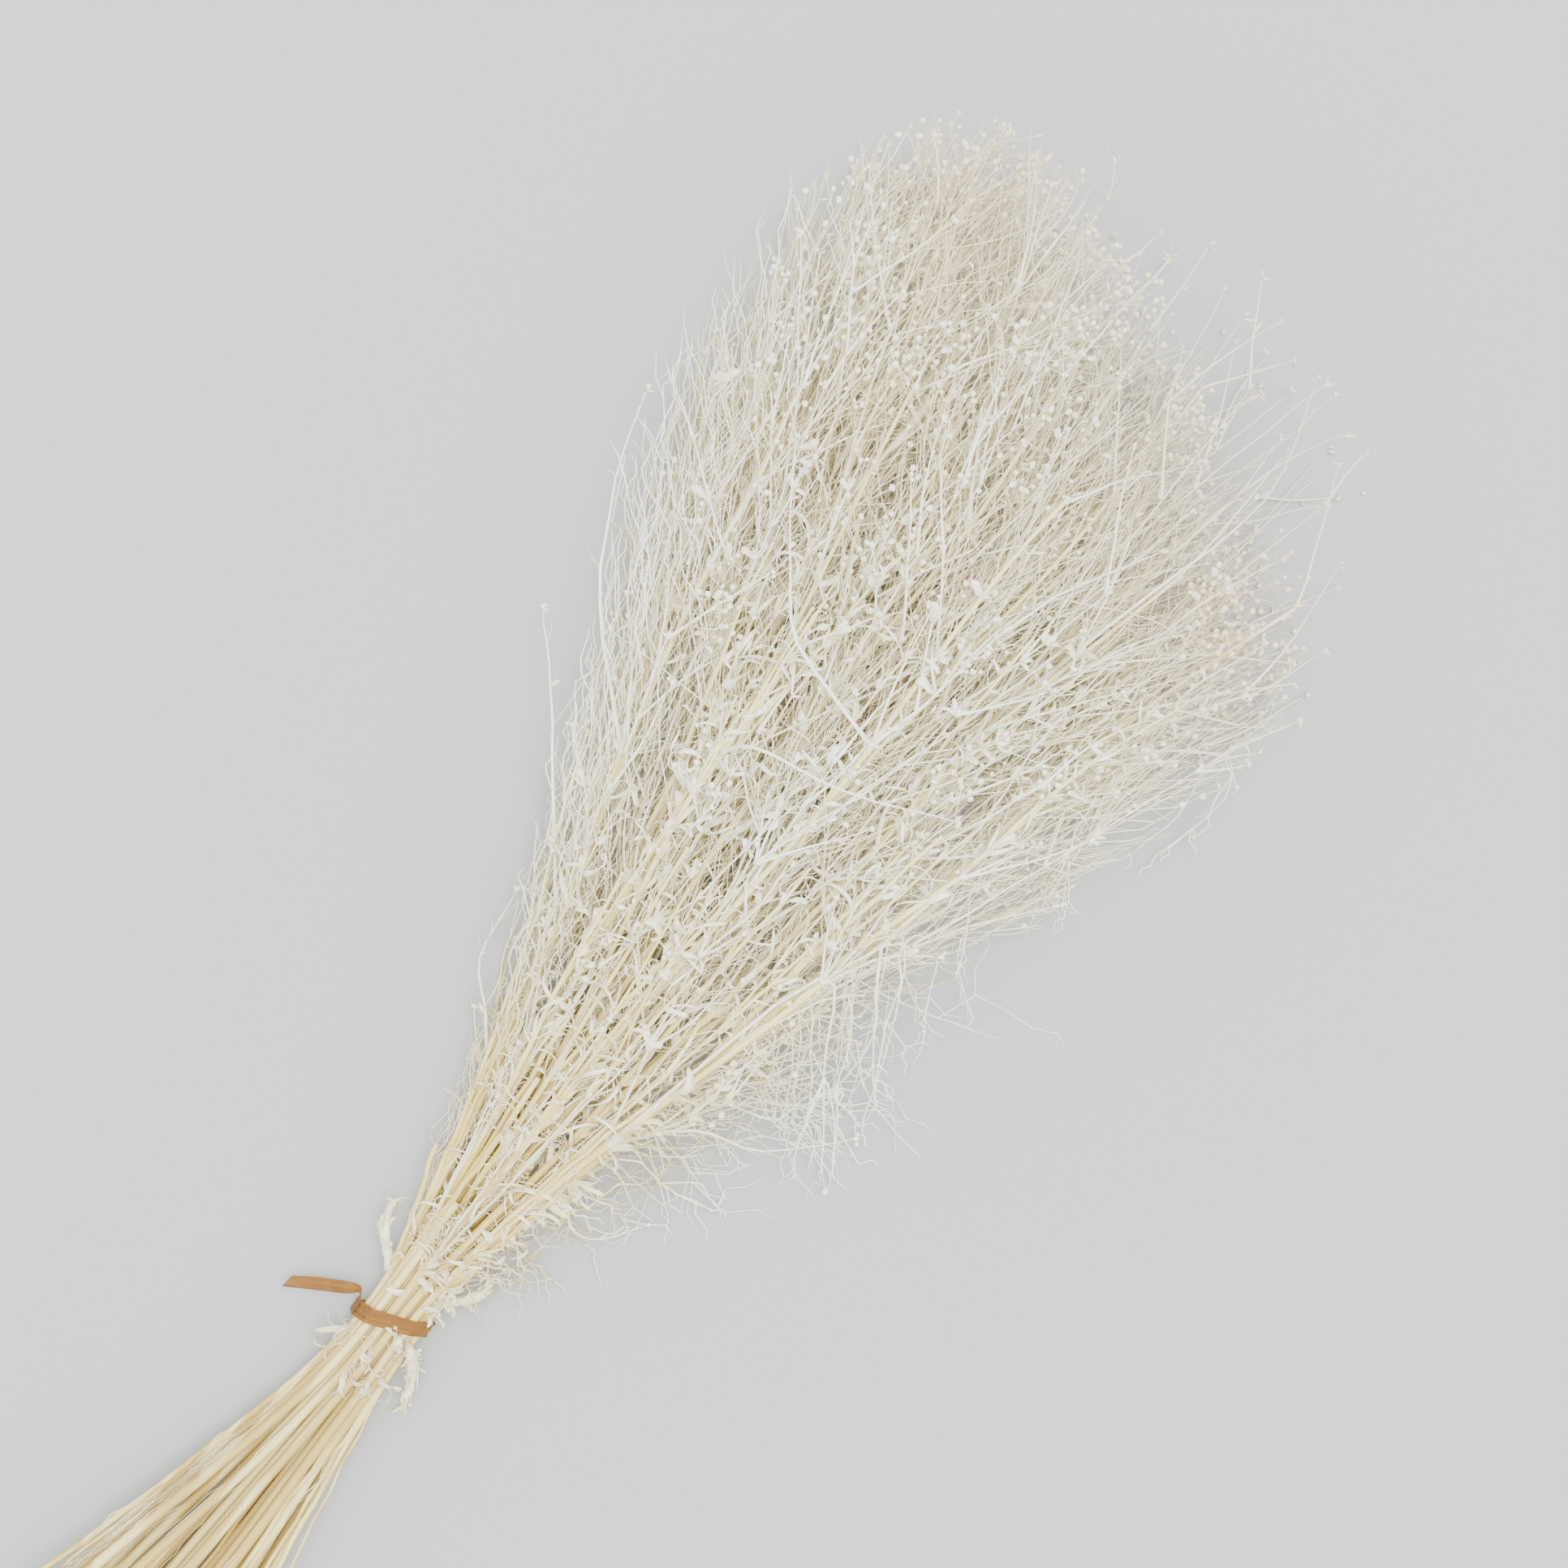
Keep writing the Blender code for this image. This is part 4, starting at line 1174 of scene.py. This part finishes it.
def strands(name, lines, sides):
    """A mesh of round strands along the lines, closed at both ends."""
    curve = bpy.data.curves.new(name, "CURVE")
    curve.dimensions = "3D"
    curve.bevel_mode = "OBJECT"
    curve.bevel_object = sections[sides]
    curve.use_fill_caps = True
    for points, radii in lines:
        spline = curve.splines.new("POLY")
        spline.points.add(len(points) - 1)
        places = [(point.x, point.y, max(point.z, radius), 1.0) for point, radius in zip(points, radii)]
        spline.points.foreach_set("co", [value for place in places for value in place])
        spline.points.foreach_set("radius", radii)
    drawn = placed(name, curve)
    graph = bpy.context.evaluated_depsgraph_get()
    mesh = bpy.data.meshes.new_from_object(drawn.evaluated_get(graph))
    bpy.data.objects.remove(drawn)
    bpy.data.curves.remove(curve)
    bm = bmesh.new()
    bm.from_mesh(mesh)
    bmesh.ops.remove_doubles(bm, verts=bm.verts, dist=1e-7)
    bmesh.ops.recalc_face_normals(bm, faces=bm.faces)
    return finished_mesh(name, bm)


def finished_mesh(name, bm, smooth=True):
    """The mesh of a bmesh, which is freed."""
    for face in bm.faces:
        face.smooth = smooth
    mesh = bpy.data.meshes.new(name)
    bm.to_mesh(mesh)
    bm.free()
    return mesh


def bud_shape(lobes, squeeze):
    """A small round bud of radius 1 on its foot, its crown drawn up into lobes."""
    belly, lobe_depth, crown_height = 0.2, 0.22, 0.75
    bm = bmesh.new()
    rings = 4 if lobes else 3
    bmesh.ops.create_uvsphere(bm, u_segments=2 * lobes or 6, v_segments=rings, radius=1.0)
    for vert in bm.verts:
        x, y, z = vert.co
        if lobes and z > belly:
            push = 1 + lobe_depth * math.cos(lobes * math.atan2(y, x))
            vert.co = (x * push, y * push, z * crown_height)
        elif z < -belly:
            vert.co = (x * squeeze, y * squeeze, z * BUD_FOOT)
    return finished_mesh("bud_shape", bm)


def place_buds(spray):
    """A few buds at the end of each limb, and single ones in clusters at the threads' ends."""
    beside_bud, smaller, finer_in_haze = 1.7, 0.8, 0.4
    plant, buds = spray.plant, []
    for points, _ in [plant.stem, *plant.branches, *plant.twigs]:
        way = (points[-1] - points[-2]).normalized()
        radius = BUD_RADIUS * rng.uniform(0.5, 0.68) * (1 - finer_in_haze * sparseness(points[-1]))
        buds.append((rng.choice(bud_shapes), points[-2], way, radius))
        for _ in range(rng.choice((0, 1, 1, 2))):
            side = leaning(way, 40, 120)
            place = settled(points[-2] + side * radius * beside_bud)
            buds.append((rng.choice(bud_shapes), place, side, radius * smaller))
    patch_rate, patch_chance, upper_chance, cluster_chance, cluster_reach = 42, 1.3, 0.42, 0.6, 0.020
    upper_from, upper_reach, edge_reach, least_share, near_top = 0.13, 0.15, 0.030, 0.14, 0.55
    for place, way in spray.tips:
        upper = clamped((place.y - upper_from) / upper_reach) * (1 - 0.5 * thinness(place))
        from_left = clamped((place.x - np.interp(place.y, *LEFT_EDGE)) / edge_reach)
        chance = patch_chance * noise.noise(place * patch_rate) + upper_chance * upper - least_share
        apart = min(math.hypot(place.x - x, place.y - y) for x, y in BUD_CLUSTERS)
        if place.z > near_top * dome_height(place):
            chance += cluster_chance * max(1 - apart / cluster_reach, 0)
        if rng.random() < chance * from_left:
            radius = rng.uniform(*SMALL_BUD_RADIUS)
            buds.append((rng.choice(bud_shapes), place + way * radius, way, radius))
    return buds


def bud_mesh(name, buds):
    """One mesh of many buds, each a copy of a shape set at its place and turned its way."""
    bm = bmesh.new()
    for shape, place, way, radius in buds:
        place = Vector((place.x, place.y, max(place.z, BUD_FOOT * radius)))
        turn = way.to_track_quat("Z", "Y").to_matrix().to_4x4()
        spin = Matrix.Rotation(any_turn(), 4, "Z")
        copy = shape.copy()
        copy.transform(Matrix.Translation(place) @ turn @ spin @ Matrix.Scale(radius, 4))
        bm.from_mesh(copy)
        bpy.data.meshes.remove(copy)
    return finished_mesh(name, bm)


def crumple(point, size):
    """A small push that gives paper its dents."""
    dent_rate = 260
    return noise.noise_vector(point * dent_rate) * size


def leaf_mesh(name, leaves, thickness):
    """One mesh of many thin leaves: a strip of faces along each line, given a thickness."""
    narrow, hollow_share, husk_hollow, least_dent, dent_rate = 0.00065, 0.35, 1.3, 0.2, 2.4
    bm = bmesh.new()
    for points, sides, half_width, kind in leaves:
        profile = PROFILES[kind]
        steps = len(points) - 1
        columns = 1 if half_width < narrow and kind != "shred" else 2
        grid = bmesh.ops.create_grid(bm, x_segments=steps, y_segments=columns, size=1.0)["verts"]
        for vert in grid:
            k = round((vert.co.x + 1) / 2 * steps)
            share = profile[round(k / steps * (len(profile) - 1))]
            before, after = points[max(k - 1, 0)], points[min(k + 1, steps)]
            hollow = sides[k].cross(after - before).normalized() * half_width * hollow_share * share
            across = vert.co.y
            vert.co = points[k] + sides[k] * half_width * share * across
            if columns == 2:
                vert.co += hollow * (1 - abs(across)) * (husk_hollow if kind == "husk" else 1)
                vert.co += crumple(vert.co * dent_rate, half_width * CRUMPLED.get(kind, least_dent))
    for vert in bm.verts:
        vert.co.z = max(vert.co.z, 2 * thickness)
    bmesh.ops.solidify(bm, geom=bm.faces[:], thickness=thickness)
    for vert in bm.verts:
        vert.co.z = max(vert.co.z, 0.5 * thickness)
    bmesh.ops.recalc_face_normals(bm, faces=bm.faces)
    return finished_mesh(name, bm)


def show(name, mesh, fibre, replaced=()):
    """A piece of the bunch from its mesh."""
    mesh.materials.append(fibres[fibre])
    piece = placed(name, mesh)
    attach(piece, "root")
    if replaced:
        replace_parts(piece, *replaced)


# Materials


def node(tree, kind, inputs, **settings):
    """A node of this kind, its inputs fed from other sockets or set to values."""
    made = tree.nodes.new("ShaderNode" + kind)
    for name, setting in settings.items():
        setattr(made, name, setting)
    for place, value in inputs.items():
        if isinstance(value, bpy.types.NodeSocket):
            tree.links.new(value, made.inputs[place])
        else:
            made.inputs[place].default_value = value
    return made


def calculate(tree, operation, *values, clamp=False):
    """A Math node's answer."""
    made = node(tree, "Math", dict(enumerate(values)), operation=operation, use_clamp=clamp)
    return made.outputs[0]


def spread(tree, value, low, high):
    """The value as a mask that runs from 0 at low to 1 at high."""
    inputs = dict(enumerate((value, low, high, 0.0, 1.0)))
    return node(tree, "MapRange", inputs, interpolation_type="SMOOTHSTEP").outputs[0]


def blend(tree, mask, first, second):
    """A colour between two colours."""
    first, second = ((*one, 1) if isinstance(one, tuple) else one for one in (first, second))
    return node(tree, "Mix", {"Factor": mask, 6: first, 7: second}, data_type="RGBA").outputs[2]


def cloud(tree, position, scale, detail=2.0, stretch=None):
    """A Noise node's value at a position, its pattern stretched where asked."""
    if stretch:
        position = node(tree, "Mapping", {"Vector": position, "Scale": stretch}).outputs[0]
    return node(tree, "TexNoise", {"Vector": position, "Scale": scale, "Detail": detail}).outputs[0]


def new_group(name, inputs, outputs):
    """A group of nodes that takes a position and numbers, its position, inputs and answers."""
    group = bpy.data.node_groups.new(name, "ShaderNodeTree")
    group.interface.new_socket("Position", in_out="INPUT", socket_type="NodeSocketVector")
    for socket in inputs:
        group.interface.new_socket(socket, in_out="INPUT", socket_type="NodeSocketFloat")
    for socket in outputs:
        group.interface.new_socket(socket, in_out="OUTPUT", socket_type="NodeSocketFloat")
    given, answer = group.nodes.new("NodeGroupInput"), group.nodes.new("NodeGroupOutput")
    return group, given, answer


def put_out(group, answer, **values):
    """Link each value to the group's answer of that name."""
    for name, value in values.items():
        group.links.new(value, answer.inputs[name])


def depth_group():
    """A group that says where in the bunch a position is, in four masks from 0 to 1.

    Height is 0 deep in the bunch and 1 on top of it and at its outer sides; it carries the painted shade
    deep in the bunch and the painted light on top. Haze grows to the upper right, Lowness
    from mid head down to the tie, and Tail past the tie.
    """
    masks = ("Height", "Haze", "Lowness", "Tail")
    group, given, answer = new_group("height_in_bunch", ("Low", "High"), masks)
    work = partial(calculate, group)
    x, y, z = node(group, "SeparateXYZ", {0: given.outputs["Position"]}).outputs
    tail_from, tail_slope, side_from, side_slope = 0.012, 0.16, 0.8, 2.5
    ahead = work("MAXIMUM", y, 0.0)
    width = work("MULTIPLY_ADD", ahead, HEAD_FLARE, HEAD_START_HALF_WIDTH)
    width = work("MINIMUM", width, HEAD_HALF_WIDTH)
    off = work("DIVIDE", work("SUBTRACT", x, HEAD_MIDDLE_X), width)
    aside = work("MULTIPLY", off, off)
    sag = work("MULTIPLY", aside, -HEAD_SIDE_DROP)
    behind = work("SUBTRACT", tail_from, work("MINIMUM", y, tail_from))
    full = work("MULTIPLY_ADD", ahead, HEAD_CLIMB, HEAD_START_HEIGHT)
    full = work("MULTIPLY_ADD", behind, tail_slope, full)
    height = work("MULTIPLY", full, work("ADD", sag, 1.0))
    fringe = work("MULTIPLY", work("SUBTRACT", aside, side_from, clamp=True), side_slope)
    share = work("ADD", work("DIVIDE", z, height), fringe)
    ragged = work("MULTIPLY", spread(group, y, *RAGGED_SPAN), fringe)
    kept = work("SUBTRACT", 1.0, ragged, clamp=True)
    outwards = work("MULTIPLY_ADD", x, OUTWARD_LEAN, y)
    put_out(
        group,
        answer,
        Height=spread(group, share, given.outputs["Low"], given.outputs["High"]),
        Haze=spread(group, outwards, *HAZE_SPAN),
        Lowness=work("MULTIPLY", spread(group, y, *LOW_SPAN), kept),
        Tail=spread(group, y, *TAIL_SPAN),
    )
    return group


def fibre_group():
    """A group for dry plant fibre: a fine tone, a broad tone, a lengthwise grain and strands."""
    masks = ("Fine", "Broad", "Grain", "Strand")
    group, given, answer = new_group("dry_fibre", (), masks)
    position = given.outputs["Position"]
    fine = cloud(group, position, scale=900.0, stretch=(1.0, 0.12, 1.0))
    strand = cloud(group, position, scale=300.0, detail=1.0, stretch=(1.0, 0.03, 1.0))
    put_out(
        group,
        answer,
        Fine=spread(group, fine, 0.35, 0.65),
        Broad=spread(group, cloud(group, position, scale=34.0), 0.38, 0.66),
        Grain=cloud(group, position, scale=1500.0, detail=3.0, stretch=(1.0, 0.07, 1.0)),
        Strand=spread(group, strand, 0.44, 0.60),
    )
    return group


def finish(name, roughness):
    """A material with its shader ready, and its Object position."""
    material = bpy.data.materials.new(name)
    material.use_nodes = True
    tree = material.node_tree
    shader = tree.nodes["Principled BSDF"]
    shader.inputs["Roughness"].default_value = roughness
    shader.inputs["Specular IOR Level"].default_value = 0.35
    position = tree.nodes.new("ShaderNodeTexCoord").outputs["Object"]
    return material, tree, shader, position


def coat(tree, shader, colour, height, strength, distance):
    """Give the shader its colour, and a bump from the height."""
    tree.links.new(colour, shader.inputs["Base Color"])
    made = node(tree, "Bump", {"Strength": strength, "Distance": distance, "Height": height})
    tree.links.new(made.outputs[0], shader.inputs["Normal"])


def plant_material(name, look):
    """Bleached plant fibre: warm painted shade deep in the bunch, pale painted light on top of it, and more
    golden low by the tie, partly the plant's own colour and partly painted shade deeper in the stack.
    """
    browning, most_low, strand_light, amber_shares = 0.45, 0.95, 0.4, (0.80, 0.77, 1.0)
    haze_strength, spot_core, bump_depth = 0.85, 0.2, 0.0002
    material, tree, shader, position = finish(name, look.roughness)
    low, high = look.heights
    fibre = node(tree, "Group", {"Position": position}, node_tree=fibre_nodes).outputs
    depth = {"Position": position, "Low": low, "High": high}
    depth = node(tree, "Group", depth, node_tree=depth_nodes).outputs
    height = depth["Height"]
    # Painted shade deep in the bunch and painted light on top of it, the light broken up by the fine tone
    colour = blend(tree, height, look.deep, look.middle)
    painted_light_on_top = calculate(tree, "MULTIPLY", height, fibre["Fine"])
    colour = blend(tree, painted_light_on_top, colour, look.light)
    colour = blend(tree, calculate(tree, "MULTIPLY", fibre["Broad"], browning), colour, look.tan)
    # More golden towards the tie, as the plant is; the height term adds painted shade deeper in the stack
    lowness = calculate(tree, "MULTIPLY_ADD", height, look.low_fade, most_low)
    lowness = calculate(tree, "MULTIPLY", lowness, depth["Lowness"])
    lowness = calculate(tree, "MAXIMUM", lowness, depth["Tail"])
    paler = tuple((1 - strand_light) * dark + strand_light * pale for dark, pale in zip(look.low, look.light))
    amber = tuple(value * share for value, share in zip(look.low, amber_shares))
    low_colour = blend(tree, depth["Tail"], look.low, amber)
    low_colour = blend(tree, fibre["Strand"], low_colour, paler)
    colour = blend(tree, lowness, colour, low_colour)
    colour = blend(tree, calculate(tree, "MULTIPLY", depth["Haze"], haze_strength), colour, HAZE)
    for place, reach, strength in TAN_SPOTS:
        away = node(tree, "VectorMath", {0: position, 1: place}, operation="DISTANCE")
        tint = spread(tree, away.outputs["Value"], reach, reach * spot_core)
        colour = blend(tree, calculate(tree, "MULTIPLY", tint, strength), colour, TAN)
    coat(tree, shader, colour, fibre["Grain"], look.grain, bump_depth)
    return material


def tie_material():
    """Tan paper with long fibres and creases along the strip's own length, with a painted highlight on the
    crease ridges and painted shade in their hollows.
    """
    brown, tan, ridge_highlight = (0.20, 0.080, 0.013), (0.32, 0.150, 0.027), (0.44, 0.245, 0.066)
    dark, speckle = (0.13, 0.045, 0.010), (0.44, 0.24, 0.06)
    material, tree, shader, position = finish("tan_paper", roughness=0.78)
    along = tree.nodes.new("ShaderNodeTexCoord").outputs["UV"]
    fibre = cloud(tree, along, scale=6.0, detail=6.0, stretch=(1.6, 26.0, 1.0))
    streaks = cloud(tree, along, scale=3.0, detail=3.0, stretch=(0.8, 9.0, 1.0))
    mottle = cloud(tree, position, scale=260.0, detail=4.0)
    colour = blend(tree, spread(tree, fibre, 0.34, 0.68), brown, tan)
    # Painted highlight on the ridges of the creases
    colour = blend(tree, spread(tree, streaks, 0.52, 0.72), colour, ridge_highlight)
    # Painted shade in the hollows of the creases, then a random speckle
    for pattern, low, high, strength, tone in (
        (streaks, 0.44, 0.30, 0.6, dark),
        (mottle, 0.5, 0.75, 0.3, speckle),
    ):
        mask = calculate(tree, "MULTIPLY", spread(tree, pattern, low, high), strength)
        colour = blend(tree, mask, colour, tone)
    ridge = calculate(tree, "ADD", fibre, calculate(tree, "MULTIPLY", streaks, 1.5))
    coat(tree, shader, colour, ridge, strength=0.7, distance=0.0003)
    return material


# The tie


def tie_line():
    """The closed line of the tie's inside, drawn tight round the stack of stems."""
    low, middle, high = ((STEMS_IN_LAYER[k] - 1) / 2 * NECK_PITCH for k in (0, 2, 4))
    corners = (
        (low, -HALF_STACK, -60),
        (middle, 0.0, 0),
        (high, HALF_STACK, 60),
        (-high, HALF_STACK, 120),
        (-middle, 0.0, 180),
        (-low, -HALF_STACK, 240),
    )
    radius = STEM_NECK_RADIUS + TIE_GAP
    line = []
    for across, up, facing in corners:
        for turn in (-30, 0, 30):
            angle = math.radians(facing + turn)
            x = across + radius * math.cos(angle)
            z = NECK_Z + up + radius * math.sin(angle)
            line.append(Vector((x, TIE_SLANT * x, z)))
    return line


def paper_strip(name, rows, thickness, closed=False):
    """A thin strip over a grid of points, with its own length and width as its UV map."""
    bm = bmesh.new()
    bm.loops.layers.uv.new("UVMap")
    steps, columns = len(rows) - 1, len(rows[0]) - 1
    bmesh.ops.create_grid(bm, x_segments=steps, y_segments=columns, size=1.0, calc_uvs=True)
    for vert in bm.verts:
        row = rows[round((vert.co.x + 1) / 2 * steps)]
        vert.co = row[round((vert.co.y + 1) / 2 * columns)]
    if closed:
        bmesh.ops.remove_doubles(bm, verts=bm.verts, dist=1e-6)
    bmesh.ops.recalc_face_normals(bm, faces=bm.faces)
    mesh = finished_mesh(name, bm)
    mesh.materials.append(tan_paper)
    piece = placed(name, mesh)
    wall = piece.modifiers.new("thickness", "SOLIDIFY")
    wall.thickness = thickness
    wall.offset = 1.0 if closed else 0.0
    soften = piece.modifiers.new("edges", "BEVEL")
    soften.width = thickness * EDGE_SHARE
    soften.segments = 2
    soften.limit_method = "ANGLE"
    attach(piece, "root")
    return piece


def tie_band():
    """The strip round the neck, a little hollowed and creased along its length."""
    columns, width_share, uneven_edge, uneven_rate = 9, 0.94, 0.05, 300
    crease_depth, crease_turn, crease_waver, waver_rate, hollow = 0.00016, 7, 1.2, 150, 0.00022
    line = tie_line()
    line = softened(line + line[:1], steps=5)
    rows = []
    for point in line[:-1] + line[:1]:
        out = (point - Vector((0, point.y, NECK_Z))).normalized()
        row = []
        for j in range(columns):
            share = 2 * j / (columns - 1) - 1
            spot = Vector((point.x * uneven_rate, point.z * uneven_rate, share))
            edge = 1 + uneven_edge * noise.noise(spot)
            place = point + Vector((0, TIE_WIDTH / 2 * width_share * share * edge, 0))
            waver = crease_waver * noise.noise(point * waver_rate)
            crease = crease_depth * math.cos(share * crease_turn + waver)
            row.append(place + out * (hollow * share * share + crease))
        rows.append(row)
    return paper_strip("tie_band", rows, BAND_THICKNESS, closed=True)


def tie_end(passes, crosswise, cut):
    """Rows of points along an end of the tie, drawn finer between those of the solid."""
    dents = 0.00010
    left = min(point.x for point in tie_line())
    knot = Vector((left - TIE_THICKNESS / 2, -TIE_WIDTH / 2, NECK_Z))
    knot.z += TIE_THICKNESS
    ends = []
    for out, ahead, up, share, fold in passes:
        middle = knot + Vector((-out, ahead, up))
        half = crosswise * TIE_WIDTH / 2 * share
        ends.append([middle - half, middle + Vector((0, 0, fold)), middle + half])
    ends[-1][0] = ends[-1][0] + cut
    ends[-1][-1] = ends[-1][-1] - cut
    edges = [softened([row[j] for row in ends], steps=6) for j in range(3)]
    rows = [softened(list(row), steps=3) for row in zip(*edges)]
    return [[point + crumple(point, dents) for point in row] for row in rows]


# The scene


def camera():
    """Straight down on the bunch, turned so that its head is at the upper right."""
    data = bpy.data.cameras.new("camera")
    data.lens = 85
    data.sensor_width = 36
    turn = Matrix(((0.804, -0.595, 0), (0.595, 0.804, 0), (0, 0, 1))).to_4x4()
    view = placed("camera", data)
    view.matrix_world = Matrix.Translation((-0.001, 0.167, 0.941)) @ turn
    bpy.context.scene.camera = view


def soft_sun(towards, strength, softness, colour):
    """An even, soft light over the whole floor, like a large window above it."""
    data = bpy.data.lights.new("key", "SUN")
    data.energy = strength
    data.angle = math.radians(softness)
    data.color = colour
    placed("key", data).rotation_euler = Vector(towards).to_track_quat("-Z", "Y").to_euler()


def studio():
    """A plain pale floor and soft light, mostly from beyond the head of the bunch."""
    bm = bmesh.new()
    bmesh.ops.create_grid(bm, x_segments=1, y_segments=1, size=8.0)
    bmesh.ops.translate(bm, vec=(0, 0, FLOOR_Z), verts=bm.verts)
    floor = placed("floor", finished_mesh("floor", bm, smooth=False))
    paint = bpy.data.materials.new("pale_floor")
    paint.use_nodes = True
    shader = paint.node_tree.nodes["Principled BSDF"]
    shader.inputs["Base Color"].default_value = (0.405, 0.418, 0.415, 1)
    shader.inputs["Roughness"].default_value = 0.9
    floor.data.materials.append(paint)
    world = bpy.data.worlds.new("soft_light")
    bpy.context.scene.world = world
    world.use_nodes = True
    background = world.node_tree.nodes["Background"]
    background.inputs["Color"].default_value = (0.94, 0.97, 1.0, 1)
    background.inputs["Strength"].default_value = 2.3
    soft_sun((-0.07, -0.14, -1.0), strength=4.5, softness=30, colour=(1.0, 0.995, 0.97))


sections = {sides: section_curve(sides) for sides in (3, 4, 5, 8)}
rng = random.Random(GROWTH_SEED)
thicket = Thicket()
plants = set_out_stems(thicket)
grow(thicket, plants)

depth_nodes = depth_group()
fibre_nodes = fibre_group()
fibres = {name: plant_material(name, look) for name, look in LOOKS.items()}
tan_paper = tie_material()
bud_shapes = [bud_shape(lobes, squeeze) for lobes, squeeze in ((0, 0.8), (0, 0.65), (4, 0.6))]

rng = random.Random(DETAIL_SEED)
noise.seed_set(DETAIL_SEED)
sprays = {plant.number: Spray(plant) for plant in plants if not plant.is_bare}
for spray in sprays.values():
    spray.grow()
for add in (add_wisps, add_drooping, add_risers, add_haze, add_canes, add_sheaths, dress_neck):
    add(sprays)
for plant in plants:
    kind, slot = ("bare_stem", "stem_cream") if plant.is_bare else ("spray", "spray_cream")
    name = f"{kind}_{plant.number + 1:02d}"
    spray = sprays.get(plant.number)
    lines = [stem_line(plant), *(spray.risers if spray else ())]
    show(name + "_stem", strands(name, lines, sides=8), "bleached_stem", [name])
    if not spray:
        continue
    for part, lines, sides, fibre in (
        ("_branches", spray.limbs, 5, "white_twig"),
        ("_sprigs", spray.sprigs, 4, "white_twig"),
        ("_threads", spray.threads, 3, "beige_thread"),
    ):
        show(name + part, strands(name, lines, sides), fibre)
    show(name + "_buds", bud_mesh(name, place_buds(spray)), "bud_skin")
    spray.add_grown_leaves()
    show(name + "_leaves", leaf_mesh(name, spray.leaves, LEAF_THICKNESS), "papery_leaf")

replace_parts(tie_band(), "tie")
paper_strip("tie_tail", tie_end(TIE_TAIL, TAIL_CROSSWISE, TAIL_CUT), END_THICKNESS)
paper_strip("tie_short_end", tie_end(TIE_SHORT_END, Vector((0, 1, 0)), Vector()), END_THICKNESS)
for section in sections.values():
    bpy.data.objects.remove(section)
camera()
studio()

faces = sum(len(piece.data.polygons) for piece in bpy.data.objects if piece.type == "MESH")
print("faces shown", faces)
